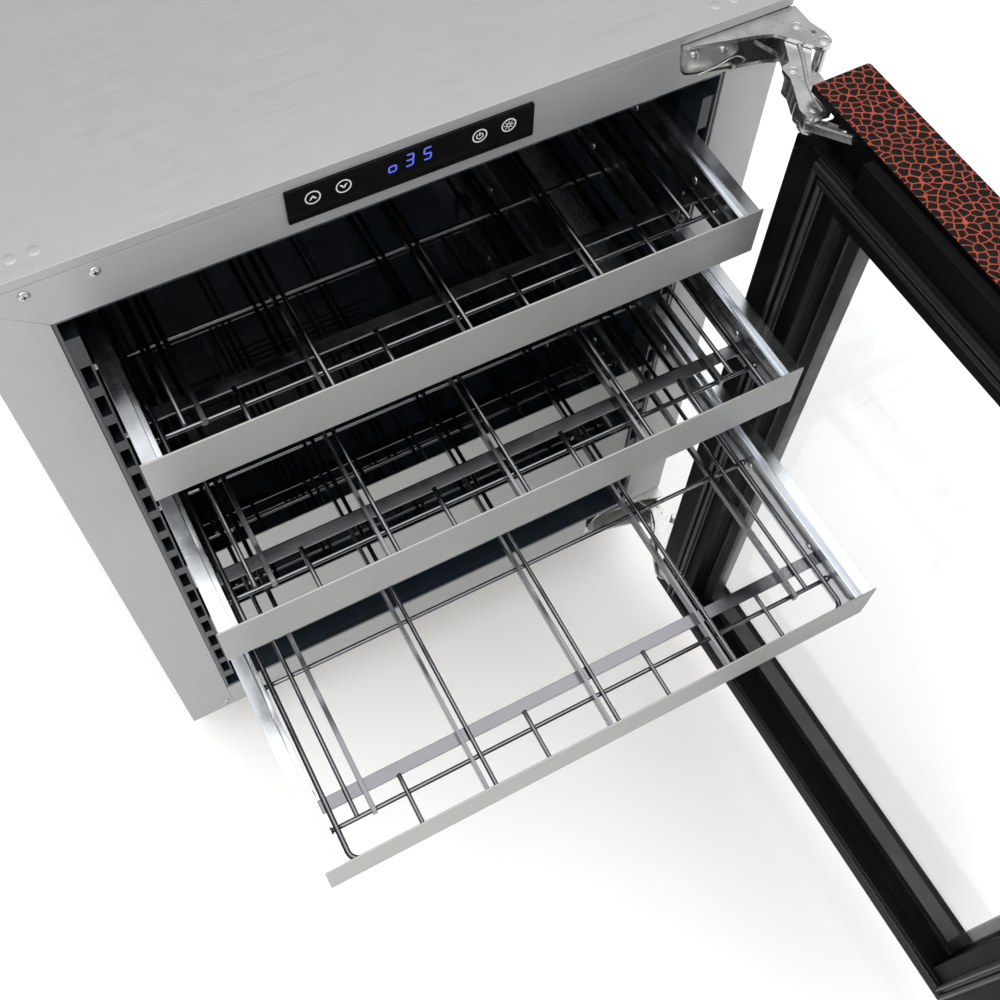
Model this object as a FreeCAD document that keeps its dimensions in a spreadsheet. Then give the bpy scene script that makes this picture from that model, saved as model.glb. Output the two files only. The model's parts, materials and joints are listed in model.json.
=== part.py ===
import FreeCAD, Part
import math
import os
import re
import Sketcher

# Undercounter wine cooler with an articulated door hinge and pull-out bottle shelves.
# X runs to the right, Y into the cabinet from its front face, Z up from the floor.
# The door stands open and the three upper shelves are pulled out.

SIZES = {
    # cabinet outside
    "cabinet_width": 606.0,
    "cabinet_top": 870.0,
    "base_top": 118.0,
    "body_depth": 543.0,
    "skin": 1.2,
    "stile_width": 48.0,
    "top_rail_height": 49.0,
    "bottom_rail_height": 47.0,
    "top_fold": 8.0,
    # cooled compartment
    "cavity_half_width": 252.0,
    "cavity_bottom": 168.0,
    "cavity_top": 818.0,
    "cavity_depth": 410.6,
    "liner_wall": 2.5,
    # control panel
    "panel_width": 182.5,
    "panel_height": 29.0,
    "panel_drop": 8.8,
    # pull-out shelves
    "shelf_half_width": 241.2,
    "front_height": 46.2,
    "front_sheet": 1.5,
    "shelf_rest": 5.0,
    "rail_outer": 239.4,
    "rail_web": 225.0,
    "rail_shoulder": 229.0,
    "rail_sheet": 1.5,
    "slide_length": 370.0,
    "slide_start": 8.0,
    "rod_radius": 1.9,
    "frame_rod_radius": 2.2,
    "rack_half_width": 220.0,
    "rack_corner": 9.0,
    "rack_drop": 26.0,
    "rack_front": 5.0,
    "rack_depth": 350.0,
    "divider_pitch": 108.0,
    # door, in its own frame: u from the hinge end, v from the inner face outwards
    "door_x": 252.0,
    "door_y": -79.2,
    "door_turn": -89.3,
    "door_width": 589.0,
    "door_bottom": 94.0,
    "door_height": 776.0,
    "panel_start": 10.0,
    "panel_thickness": 48.4,
    "hinge_stile": 64.0,
    "latch_stile": 70.0,
    "door_rail": 62.0,
    "frame_inset": 10.0,
    "frame_bottom": 118.0,
    "frame_height": 748.0,
    "glass_sheet": 4.0,
    "glass_gap": 16.0,
    "glass_start": 24.0,
    # articulated hinge
    "housing_pin_x": 293.4,
    "housing_pin_y": -18.9,
    "cross_pin_x": 268.4,
    "cross_pin_y": -51.9,
    "nose_pin_x": 302.5,
    "nose_pin_y": -40.0,
    "door_pin_x": 259.5,
    "door_pin_y": -89.0,
    "hinge_pin_radius": 3.0,
    "pin_play": 0.05,
    "lever_width": 17.0,
    "hinge_low": 824.0,
    "hinge_stack": 37.5,
    "hinge_plate": 3.0,
    "hinge_mirror": 988.0,
    # machine compartment and base
    "machine_front": 430.0,
    "machine_top": 290.0,
    "tray_low": 20.0,
    "line_x": -60.0,
    "line_z": 262.0,
    "line_radius": 3.5,
    "fan_z": 690.0,
    "fan_shaft": 2.0,
    "leg_radius": 7.0,
    "leg_pad_radius": 18.0,
    "leg_inset": 42.0,
}

SHELF_TOPS = {1: 769.7, 2: 680.1, 3: 564.3, 4: 448.5, 5: 332.7}
SHELF_PULLS = {1: 95.0, 2: 184.2, 3: 334.7, 4: 0.0, 5: 0.0}
for number in SHELF_TOPS:
    SIZES["shelf_top_%d" % number] = SHELF_TOPS[number]
    SIZES["shelf_pull_%d" % number] = SHELF_PULLS[number]

doc = FreeCAD.newDocument("WineCooler")
sheet = doc.addObject("Spreadsheet::Sheet", "Sizes")
for row, (name, amount) in enumerate(SIZES.items(), start=1):
    sheet.set("A%d" % row, name)
    sheet.set("B%d" % row, str(amount))
    sheet.setAlias("B%d" % row, name)
doc.recompute()

ALIAS = re.compile(r"\b[a-z][a-z0-9_]*\b")
SUBPARTS = []


def bound(text):
    """Write a size expression with its names pointing at the spreadsheet."""
    return ALIAS.sub(lambda word: "Sizes." + word.group(0) if word.group(0) in SIZES else word.group(0),
                     str(text))


def value(text):
    """The number that a size expression gives, for the first guess of a constraint."""
    return float(sheet.evalExpression(bound(text)))


def bind(thing, place, text):
    thing.setExpression(place, bound(text))


def bind_place(thing, low):
    for axis, text in zip("xyz", low):
        bind(thing, "Placement.Base." + axis, text)


def box(name, low, size):
    """A block from its low corner, with every length bound to the sheet."""
    block = doc.addObject("Part::Box", name)
    for side, text in zip(("Length", "Width", "Height"), size):
        bind(block, side, text)
    bind_place(block, low)
    return block


AXIS_TURNS = {
    "x": FreeCAD.Rotation(FreeCAD.Vector(0, 1, 0), 90),
    "y": FreeCAD.Rotation(FreeCAD.Vector(1, 0, 0), -90),
    "z": FreeCAD.Rotation(),
}


def rod(name, start, radius, length, axis):
    """A cylinder that starts at a point and runs along +X, +Y or +Z."""
    bar = doc.addObject("Part::Cylinder", name)
    bar.Placement = FreeCAD.Placement(FreeCAD.Vector(), AXIS_TURNS[axis])
    bind(bar, "Radius", radius)
    bind(bar, "Height", length)
    bind_place(bar, start)
    return bar


def cut(name, base, tools):
    """One piece less one or more others."""
    result = doc.addObject("Part::Cut", name)
    result.Base = base
    result.Tool = tools[0] if len(tools) == 1 else fuse(name + "Tools", tools)
    return result


def fuse(name, pieces):
    result = doc.addObject("Part::MultiFuse", name)
    result.Shapes = pieces
    return result


def group(name, pieces):
    """Separate solids that share one node."""
    result = doc.addObject("Part::Compound", name)
    result.Links = pieces
    return result


def subpart(node, piece):
    piece.Label = node
    SUBPARTS.append(piece)
    return piece


def plane(body, role):
    return next(item for item in body.Origin.OriginFeatures if item.Role == role)


def sketch_on(body, role, name):
    sketch = body.newObject("Sketcher::SketchObject", name)
    sketch.AttachmentSupport = (plane(body, role), [""])
    sketch.MapMode = "FlatFace"
    return sketch


def polygon(sketch, points):
    """A closed outline whose corners are each bound to two size expressions."""
    corners = [FreeCAD.Vector(value(x), value(y), 0) for x, y in points]
    count = len(corners)
    first = sketch.GeometryCount
    for index in range(count):
        sketch.addGeometry(Part.LineSegment(corners[index], corners[(index + 1) % count]), False)
    for index in range(count):
        sketch.addConstraint(Sketcher.Constraint("Coincident", first + index, 2,
                                                 first + (index + 1) % count, 1))
    for index, (x, y) in enumerate(points):
        for kind, text, guess in (("DistanceX", x, corners[index].x), ("DistanceY", y, corners[index].y)):
            place = sketch.addConstraint(Sketcher.Constraint(kind, -1, 1, first + index, 1, guess))
            bind(sketch, "Constraints[%d]" % place, text)


def circle(sketch, centre, radius):
    place = FreeCAD.Vector(value(centre[0]), value(centre[1]), 0)
    index = sketch.addGeometry(Part.Circle(place, FreeCAD.Vector(0, 0, 1), value(radius)), False)
    for kind, text, guess in (("DistanceX", centre[0], place.x), ("DistanceY", centre[1], place.y)):
        row = sketch.addConstraint(Sketcher.Constraint(kind, -1, 1, index, 3, guess))
        bind(sketch, "Constraints[%d]" % row, text)
    row = sketch.addConstraint(Sketcher.Constraint("Radius", index, value(radius)))
    bind(sketch, "Constraints[%d]" % row, radius)


def rectangle(low, high):
    """Corner list of a rectangle given by two opposite corners."""
    return [(low[0], low[1]), (high[0], low[1]), (high[0], high[1]), (low[0], high[1])]


ROLE_AXIS = {"XY_Plane": "z", "XZ_Plane": "y", "YZ_Plane": "x"}


def prism(name, role, outline, low, length, circles=()):
    """A body padded from one closed outline, from a low plane along +X, +Y or +Z."""
    body = doc.addObject("PartDesign::Body", name)
    sketch = sketch_on(body, role, name + "Sketch")
    if outline:
        polygon(sketch, outline)
    for centre, radius in circles:
        circle(sketch, centre, radius)
    pad = body.newObject("PartDesign::Pad", name + "Pad")
    pad.Profile = sketch
    pad.Reversed = role == "XZ_Plane"
    bind(pad, "Length", length)
    bind(body, "Placement.Base." + ROLE_AXIS[role], low)
    return body


def round_edges(body, keep, radius):
    """Fillet the edges of a body that a test picks."""
    doc.recompute()
    last = body.Tip
    picked = ["Edge%d" % (index + 1) for index, edge in enumerate(last.Shape.Edges) if keep(edge)]
    fillet = body.newObject("PartDesign::Fillet", body.Name + "Fillet")
    fillet.Base = (last, picked)
    bind(fillet, "Radius", radius)
    return body


def upright(edge):
    return edge.BoundBox.XLength < 0.01 and edge.BoundBox.YLength < 0.01


# ---------------------------------------------------------------- cabinet skins

HALF = "cabinet_width / 2"
INNER_TOP = "cabinet_top - skin"
RAIL_LOW = "cabinet_top - top_rail_height"
SILL = "base_top + bottom_rail_height"
# lower and left edge of the hinge's opening in the top rail, from the right, over the hinge's foot
MORTISE_EDGE = (("257.5", "-2"), ("236.4", "3"), ("220", "6.6"), ("216", "8.8"), ("212.8", "13"),
                ("210.6", "20"), ("208.9", "30"), ("209", "35.5"))
HINGE_NOTCHES = (("HighNotch", "hinge_low - 0.4"),
                 ("LowNotch", "hinge_mirror - hinge_low - hinge_stack - 0.4"))


def hinge_notches(name, low_x, near, depth):
    """Blocks that clear the two hinge mortises from a front skin or the foam."""
    return [box(name + label, (low_x, near, low), ("320 - (%s)" % low_x, depth, "hinge_stack + 0.8"))
            for label, low in HINGE_NOTCHES]


def make_top_panel():
    """Shallow tray: a flat top with folds down the front and both sides."""
    outer = box("TopOuter", ("-" + HALF, "0", "cabinet_top - top_fold"),
                ("cabinet_width", "body_depth - skin", "top_fold"))
    inner = box("TopInner", ("-cabinet_width / 2 + skin", "skin", "cabinet_top - top_fold - 1"),
                ("cabinet_width - 2 * skin", "body_depth", "top_fold + 1 - skin"))
    subpart("top_panel", cut("TopPanel", outer, [inner]))


def make_side_panel(side, sign):
    """Side sheet down to the base tray, with the front stile folded from it."""
    outer = "%d * cabinet_width / 2" % sign
    inner = "%d * (cabinet_width / 2 - skin)" % sign
    stile = "%d * (cabinet_width / 2 - stile_width)" % sign
    hem = "%d * (cabinet_width / 2 - stile_width + skin)" % sign
    back = "body_depth - skin"
    name = side + "Side"
    outline = [(outer, "0"), (outer, back), (inner, back), (inner, "skin"),
               (hem, "skin"), (hem, "10"), (stile, "10"), (stile, "0")]
    sheet_body = prism(name, "XY_Plane", outline, "tray_low", "cabinet_top - top_fold - 0.4 - tray_low")
    waste = [box(name + "Toe",
                 ("%d * cabinet_width / 4 + %d * cabinet_width / 4 - 60" % (sign, sign), "-1", "0"),
                 ("120", "51", "base_top"))]
    if sign > 0:
        waste += hinge_notches(name, "200", "-1", "14")
        corner = ("200", "-1", RAIL_LOW + " - 0.1")
        waste.append(box(name + "Corner", corner, (HALF + " - skin - 200", "14", "60")))
    else:
        mitre = [("-301.7", "cabinet_top - top_fold"), ("-250", "cabinet_top - 53.4"),
                 ("-250", "cabinet_top")]
        waste.append(prism(name + "Mitre", "XZ_Plane", mitre, "-1", "14"))
    subpart(side.lower() + "_side_panel", cut(name + "Panel", sheet_body, waste))


def make_top_rail():
    """Front rail over the opening: mitred at the left, cut away round the hinge at the right."""
    high = "cabinet_top - top_fold - 0.3"
    outline = [("-301.7", high), ("-254.9", RAIL_LOW), ("257.5", RAIL_LOW)]
    outline += [(x, "hinge_low + (%s)" % z) for x, z in MORTISE_EDGE] + [("209", high)]
    subpart("top_rail", prism("TopRail", "XZ_Plane", outline, "0", "skin"))


def make_bottom_rail():
    """Front rail under the opening, between the stiles, with a short hem."""
    outline = [("0", "base_top"), ("0", SILL), ("10", SILL), ("10", SILL + " - skin"),
               ("skin", SILL + " - skin"), ("skin", "base_top")]
    rail = prism("BottomRailFold", "YZ_Plane", outline, "-254.8", "509.6")
    subpart("bottom_rail", cut("BottomRail", rail, hinge_notches("BottomRail", "202", "-1", "14")[1:]))


def make_back_panel():
    """Back sheet over the foam, above the open machine compartment."""
    subpart("back_panel",
            box("BackPanel", ("-cabinet_width / 2 + skin + 0.2", "body_depth - skin", "machine_top"),
                              ("cabinet_width - 2 * skin - 0.4", "skin", INNER_TOP + " - machine_top")))


def make_base_tray():
    """Tray across the base that carries the compressor and the condenser."""
    half = "(cabinet_width / 2 - skin - 0.2)"
    plate = box("TrayPlate", ("-" + half, "54", "tray_low"), ("2 * " + half, "body_depth - 56", "2"))
    lip = box("TrayLip", ("-" + half, "body_depth - 4", "tray_low"), ("2 * " + half, "2", "14"))
    subpart("base_tray", fuse("BaseTray", [plate, lip]))


def make_liner():
    """Moulded inner tub, open at the front, with a hole for the suction line."""
    wall = "liner_wall"
    outer = box("LinerOuter",
                ("-cavity_half_width - liner_wall", "skin + 0.2", "cavity_bottom - liner_wall"),
                ("2 * (cavity_half_width + liner_wall)", "cavity_depth + liner_wall",
                 "cavity_top - cavity_bottom + 2 * " + wall))
    inner = box("LinerInner", ("-cavity_half_width", "0", "cavity_bottom"),
                ("2 * cavity_half_width", "cavity_depth + skin + 0.2", "cavity_top - cavity_bottom"))
    hole = rod("LinerHole", ("line_x", "400", "line_z"), "line_radius + 1", "30", "y")
    subpart("inner_liner", cut("InnerLiner", outer, [inner, hole]))


def make_foam():
    """Foamed insulation between the liner and the skins, stepped over the compressor."""
    side = "(cabinet_width / 2 - skin - 0.3)"
    outer = box("FoamOuter", ("-" + side, "14", "base_top + 0.3"),
                ("2 * " + side, "body_depth - skin - 14.3", INNER_TOP + " - 0.3 - base_top - 0.3"))
    liner_side = "(cavity_half_width + liner_wall + 0.3)"
    inner = box("FoamInner", ("-" + liner_side, "13", "cavity_bottom - liner_wall - 0.3"),
                ("2 * " + liner_side, "cavity_depth + skin + 0.2 + liner_wall + 0.3 - 13",
                 "cavity_top - cavity_bottom + 2 * (liner_wall + 0.3)"))
    machine = box("FoamMachine", ("-cabinet_width", "machine_front", "base_top - 10"),
                  ("2 * cabinet_width", "200", "machine_top - base_top + 10"))
    hole = rod("FoamHole", ("line_x", "400", "line_z"), "line_radius + 1", "40", "y")
    waste = [inner, machine, hole] + hinge_notches("Foam", "200", "13", "27")
    subpart("insulation_foam", cut("Foam", outer, waste))


def make_kick_grille():
    """Louvred plinth set back under the front face."""
    plate = box("KickPlate", ("-cabinet_width / 2 + 4", "50", "24"),
                ("cabinet_width - 8", "2", "base_top - 26"))
    slots = [box("KickSlot%d" % index, ("-230", "45", "34 + %d * 13" % index), ("460", "12", "6"))
             for index in range(6)]
    subpart("kick_grille", cut("KickGrille", plate, slots))


def make_levelling_legs():
    """Four screw feet under the base tray."""
    legs = []
    feet = ((-1, "78"), (1, "78"), (-1, "body_depth - 40"), (1, "body_depth - 40"))
    for index, (x, y) in enumerate(feet):
        x = "%d * (cabinet_width / 2 - leg_inset)" % x
        pad = rod("LegPad%d" % index, (x, y, "0"), "leg_pad_radius", "6", "z")
        stem = rod("LegStem%d" % index, (x, y, "6"), "leg_radius", "tray_low - 6", "z")
        legs.append(fuse("Leg%d" % index, [pad, stem]))
    subpart("levelling_legs", group("LevellingLegs", legs))


# ---------------------------------------------------------------- machine compartment

def make_fins(name, low, size, count, tubes, radius):
    """Block of flat fins along X with straight tubes through them."""
    pieces = [box("%sFin%d" % (name, index),
                  (low[0] + " + %d * (%s) / %d" % (index, size[0], count), low[1], low[2]),
                  ("0.8", size[1], size[2])) for index in range(count + 1)]
    for index in range(tubes):
        place = (low[0] + " - 8", low[1] + " + (%s) / 2" % size[1],
                 low[2] + " + (%d + 0.5) * (%s) / %d" % (index, size[2], tubes))
        pieces.append(rod("%sTube%d" % (name, index), place, radius, size[0] + " + 16.8", "x"))
    for index in range(tubes - 1):
        side = (low[0] + " - 8", low[0] + " + %s + 8" % size[0])[index % 2]
        place = (side, low[1] + " + (%s) / 2" % size[1],
                 low[2] + " + (%d + 0.5) * (%s) / %d" % (index, size[2], tubes))
        pieces.append(rod("%sBend%d" % (name, index), place, radius, "(%s) / %d" % (size[2], tubes), "z"))
    return fuse(name, pieces)


def fan_blade(name, centre, radius, depth, blades):
    """Axial fan: a hub with pitched blades, turning about Y."""
    hub = rod(name + "Hub", (centre[0], centre[1], centre[2]), "(%s) * 0.34" % radius, depth, "y")
    pieces = [hub]
    spot = FreeCAD.Vector(*[value(text) for text in (centre[0], centre[1] + " + (%s) / 2" % depth,
                                                     centre[2])])
    pitch = FreeCAD.Placement(FreeCAD.Vector(), FreeCAD.Rotation(FreeCAD.Vector(1, 0, 0), 32))
    for index in range(blades):
        blade = doc.addObject("Part::Box", "%sBlade%d" % (name, index))
        bind(blade, "Length", "(%s) * 0.72" % radius)
        bind(blade, "Width", "1.4")
        bind(blade, "Height", "(%s) * 0.42" % radius)
        turn = FreeCAD.Placement(spot, FreeCAD.Rotation(FreeCAD.Vector(0, 1, 0), 360.0 * index / blades))
        shift = FreeCAD.Vector(value(radius) * 0.28, -0.7, -value(radius) * 0.21)
        blade.Placement = turn.multiply(pitch).multiply(FreeCAD.Placement(shift, FreeCAD.Rotation()))
        pieces.append(blade)
    bore = rod(name + "Bore", (centre[0], centre[1] + " + 2", centre[2]), "fan_shaft + pin_play", depth,
               "y")
    return cut(name, fuse(name + "Solid", pieces), [bore])


def fan_shaft(name, centre, length):
    """Steel stub that a fan's hub turns on, from behind the hub towards the front."""
    return rod(name, (centre[0], centre[1], centre[2]), "fan_shaft", length, "y")


def pipe_run(name, points, radius):
    """Pipe through a list of points, each step along one axis, with rounded elbows."""
    pieces = []
    for index, point in enumerate(points):
        ball = doc.addObject("Part::Sphere", "%sElbow%d" % (name, index))
        bind(ball, "Radius", radius)
        bind_place(ball, point)
        pieces.append(ball)
    for index in range(len(points) - 1):
        one, two = points[index], points[index + 1]
        axis = next(place for place in range(3) if one[place] != two[place])
        start = one if value(two[axis]) > value(one[axis]) else two
        other = two if start is one else one
        length = "(%s) - (%s)" % (other[axis], start[axis])
        pieces.append(rod("%sRun%d" % (name, index), start, radius, length, "xyz"[axis]))
    return fuse(name, pieces)


def make_machine():
    """Compressor, condenser with its fan, drain pan, inlet and pipes."""
    shell = rod("CompressorShell", ("-150", "486", "tray_low + 20"), "50", "110", "z")
    dome = doc.addObject("Part::Sphere", "CompressorDome")
    bind(dome, "Radius", "50")
    bind_place(dome, ("-150", "486", "tray_low + 130"))
    foot = box("CompressorFoot", ("-205", "450", "tray_low + 10"), ("110", "72", "10.5"))
    posts = (("-195", "460"), ("-105", "460"), ("-195", "512"), ("-105", "512"))
    feet = [rod("CompressorPost%d" % index, (x, y, "tray_low + 2"), "7", "8.5", "z")
            for index, (x, y) in enumerate(posts)]
    subpart("compressor", fuse("Compressor", [shell, dome, foot] + feet))

    subpart("condenser_coil",
            make_fins("CondenserCoil", ("-240", "80", "tray_low + 6"), ("250", "26", "84"), 28, 4, "3"))
    frame = box("FanFrameBlock", ("110 - 46", "84", "tray_low + 2"), ("92", "14", "92"))
    ring = rod("FanFrameHole", ("110", "80", "tray_low + 48"), "42", "30", "y")
    struts = [box("FanStrutA", ("108", "94", "tray_low + 2"), ("4", "4", "92")),
              box("FanStrutB", ("110 - 46", "94", "tray_low + 46"), ("92", "4", "4"))]
    ringed = cut("FanFrameRing", frame, [ring])
    stub = fan_shaft("CondenserFanShaft", ("110", "84", "tray_low + 48"), "10.5")
    subpart("condenser_fan_frame", fuse("CondenserFanFrame", [ringed, stub] + struts))
    subpart("condenser_fan_blade", fan_blade("CondenserFan", ("110", "80", "tray_low + 48"), "40", "12", 7))

    pan = box("PanOuter", ("-60", "445", "tray_low + 2"), ("140", "80", "30"))
    hollow = box("PanInner", ("-58", "447", "tray_low + 4"), ("136", "76", "40"))
    subpart("drain_pan", cut("DrainPan", pan, [hollow]))
    inlet = box("InletBlock", ("170", "498", "tray_low + 2"), ("48", "38", "34"))
    socket = box("InletSocket", ("181", "516", "tray_low + 9"), ("26", "30", "20"))
    subpart("power_inlet", cut("PowerInlet", inlet, [socket]))

    discharge = pipe_run("Discharge",
                         [("-150", "432.5", "tray_low + 58.5"), ("-150", "300", "tray_low + 58.5"),
                          ("-260", "300", "tray_low + 58.5"), ("-260", "93", "tray_low + 58.5"),
                          ("-254.8", "93", "tray_low + 58.5")], "line_radius")
    suction = pipe_run("Suction", [("-96.5", "486", "tray_low + 100"), ("line_x", "486", "tray_low + 100"),
                                   ("line_x", "486", "line_z"), ("line_x", "406.6", "line_z")],
                       "line_radius")
    subpart("refrigerant_lines", group("RefrigerantLines", [discharge, suction]))


def make_evaporator():
    """Cover across the back of the compartment with the coil and fan behind it."""
    cover = box("CoverPlate", ("-cavity_half_width + 0.3", "384", "cavity_bottom + 0.3"),
                ("2 * cavity_half_width - 0.6", "2", "cavity_top - cavity_bottom - 0.6"))
    slots = [box("CoverSlot%d" % index, ("-40", "380", "fan_z - 42 + %d * 12" % index), ("80", "10", "5"))
             for index in range(8)]
    slots += [box("CoverVent%d" % index, ("-90", "380", "cavity_bottom + 16 + %d * 12" % index),
                  ("180", "10", "5"))
              for index in range(3)]
    subpart("evaporator_cover", cut("EvaporatorCover", cover, slots))
    subpart("evaporator_coil",
            make_fins("EvaporatorCoil", ("-180", "389", "240"), ("360", "14", "320"), 36, 8, "3.5"))
    motor = rod("EvaporatorMotorCan", ("0", "402.6", "fan_z"), "18", "9.2", "y")
    stub = fan_shaft("EvaporatorMotorShaft", ("0", "396", "fan_z"), "7")
    subpart("evaporator_fan_motor", fuse("EvaporatorMotor", [motor, stub]))
    subpart("evaporator_fan_blade", fan_blade("EvaporatorFan", ("0", "391", "fan_z"), "48", "11", 7))


def make_fittings():
    """Control glass and its board, light bar and screws."""
    glass_low = "cabinet_top - panel_drop - panel_height"
    outline = rectangle(("-panel_width / 2", glass_low), ("panel_width / 2", "cabinet_top - panel_drop"))
    glass = prism("PanelGlass", "XZ_Plane", outline, "-2", "2")
    round_edges(glass, lambda edge: edge.BoundBox.XLength < 0.01 and edge.BoundBox.ZLength < 0.01, "1.5")
    subpart("control_panel", glass)
    board = box("BoardPlate", ("-80", "3", glass_low + " + 2"), ("160", "1.6", "24"))
    chips = [box("BoardChip%d" % index, ("-60 + %d * 40" % index, "4.6", glass_low + " + 8"),
                 ("14", "3", "10"))
             for index in range(4)]
    subpart("control_board", fuse("ControlBoard", [board] + chips))
    bar = box("LightBase", ("-110", "26", "cavity_top - 5"), ("220", "20", "4.8"))
    subpart("light_bar", bar)
    heads = []
    for index, (x, z) in enumerate((("-261.9", "base_top + 735.8"), ("-217.4", "base_top + 734.8"),
                                    ("-261.3", "base_top + 12.2"))):
        heads.append(rod("FaceScrew%d" % index, (x, "-1.6", z), "4", "1.6", "y"))
    for index, x in enumerate(("-260.4", "-245.6", "246.4", "261.4")):
        heads.append(rod("TopScrew%d" % index, (x, "16.5", "cabinet_top"), "2.6", "0.8", "z"))
    subpart("cabinet_screws", group("CabinetScrews", heads))


def make_wall_strips():
    """Upright strips on the tub's side walls that carry the shelf slides."""
    strips = []
    for index, (sign, near) in enumerate(((-1, "3"), (1, "3"), (-1, "350"), (1, "350"))):
        plate = box("Strip%d" % index, ("%d * 246.75 - 5.15" % sign, near, "cavity_bottom + 20"),
                    ("10.3", "26", "cavity_top - cavity_bottom - 40"))
        windows = [box("Strip%dWindow%d" % (index, step),
                       ("%d * 246.9 - 3.7" % sign, near + " - 1", "cavity_bottom + 34 + %d * 36" % step),
                       ("7.4", "28", "24")) for step in range(16)]
        strips.append(cut("Strip%dCut" % index, plate, windows))
    subpart("wall_strips", group("WallStrips", strips))


def slide_profile(sign, points):
    return [("%d * (%s)" % (sign, x), z) for x, z in points]


def make_fixed_slides():
    """Outer slide members, two for each shelf, riveted to the strips."""
    profile = [("239.1", "-43"), ("239.1", "-7"), ("231", "-7"), ("231", "-8.2"),
               ("237.9", "-8.2"), ("237.9", "-41.8"), ("231", "-41.8"), ("231", "-43")]
    members = []
    for number in SHELF_TOPS:
        for sign in (-1, 1):
            name = "FixedSlide%d%s" % (number, "LR"[sign > 0])
            body = prism(name, "XZ_Plane", slide_profile(sign, profile), "slide_start", "slide_length")
            bind(body, "Placement.Base.z", "shelf_top_%d" % number)
            start = "239.1" if sign > 0 else "-241.6"
            rivets = [rod("%sRivet%d" % (name, index), (start, y, "shelf_top_%d - 25" % number), "3", "2.5",
                          "x")
                      for index, y in enumerate(("18", "363"))]
            members.append(fuse(name + "Riveted", [body] + rivets))
    subpart("fixed_slides", group("FixedSlides", members))


# ---------------------------------------------------------------- shelves

def make_shelf(number):
    """One pull-out shelf: folded front, rolled side rails, wire rack, middle slides."""
    pull = "shelf_pull_%d" % number
    top = "shelf_top_%d" % number
    face = "shelf_rest - " + pull
    name = "Shelf%d" % number

    outline = [("0", "0"), ("front_sheet", "0"), ("front_sheet", "-front_height + front_sheet"),
               ("9", "-front_height + front_sheet"), ("9", "-front_height"), ("0", "-front_height")]
    front = prism(name + "Front", "YZ_Plane", outline, "-shelf_half_width", "2 * shelf_half_width")
    bind(front, "Placement.Base.y", face)
    bind(front, "Placement.Base.z", top)
    subpart("shelf_%d_front" % number, front)

    web_out = "rail_web + rail_sheet"
    shoulder_out = "rail_shoulder + rail_sheet"
    profile = [("rail_web", "-44"), ("rail_web", "-7.6"), ("rail_shoulder", "-7.6"), ("rail_shoulder", "-2"),
               ("rail_outer", "-2"), ("rail_outer", "-3.5"), (shoulder_out, "-3.5"), (shoulder_out, "-9.1"),
               (web_out, "-9.1"), (web_out, "-13"), ("231.5", "-13"), ("231.5", "-14.2"), (web_out, "-14.2"),
               (web_out, "-35.8"), ("231.5", "-35.8"), ("231.5", "-37"), (web_out, "-37"), (web_out, "-44")]
    rails = []
    for sign in (-1, 1):
        rail = prism("%sRail%s" % (name, "LR"[sign > 0]), "XZ_Plane", slide_profile(sign, profile),
                     face + " + front_sheet", "slide_length")
        bind(rail, "Placement.Base.z", top)
        rails.append(rail)
    subpart("shelf_%d_side_rails" % number, group(name + "Rails", rails))

    rack = make_rack(name + "Rack", "rail_web")
    bind(rack, "Placement.Base.y", face)
    bind(rack, "Placement.Base.z", top + " - rack_drop")
    subpart("shelf_%d_rack" % number, rack)

    profile = [("232.6", "-38.3"), ("228.5", "-38.3"), ("228.5", "-39.5"), ("236.5", "-39.5"),
               ("236.5", "-38.3"), ("233.8", "-38.3"), ("233.8", "-11.7"), ("236.5", "-11.7"),
               ("236.5", "-10.5"), ("228.5", "-10.5"), ("228.5", "-11.7"), ("232.6", "-11.7")]
    middles = []
    for sign in (-1, 1):
        middle = prism("%sMiddle%s" % (name, "LR"[sign > 0]), "XZ_Plane", slide_profile(sign, profile),
                       "slide_start + 1 - %s / 2" % pull, "slide_length")
        bind(middle, "Placement.Base.z", top)
        middles.append(middle)
    subpart("shelf_%d_middle_slides" % number, group(name + "Middles", middles))


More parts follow.
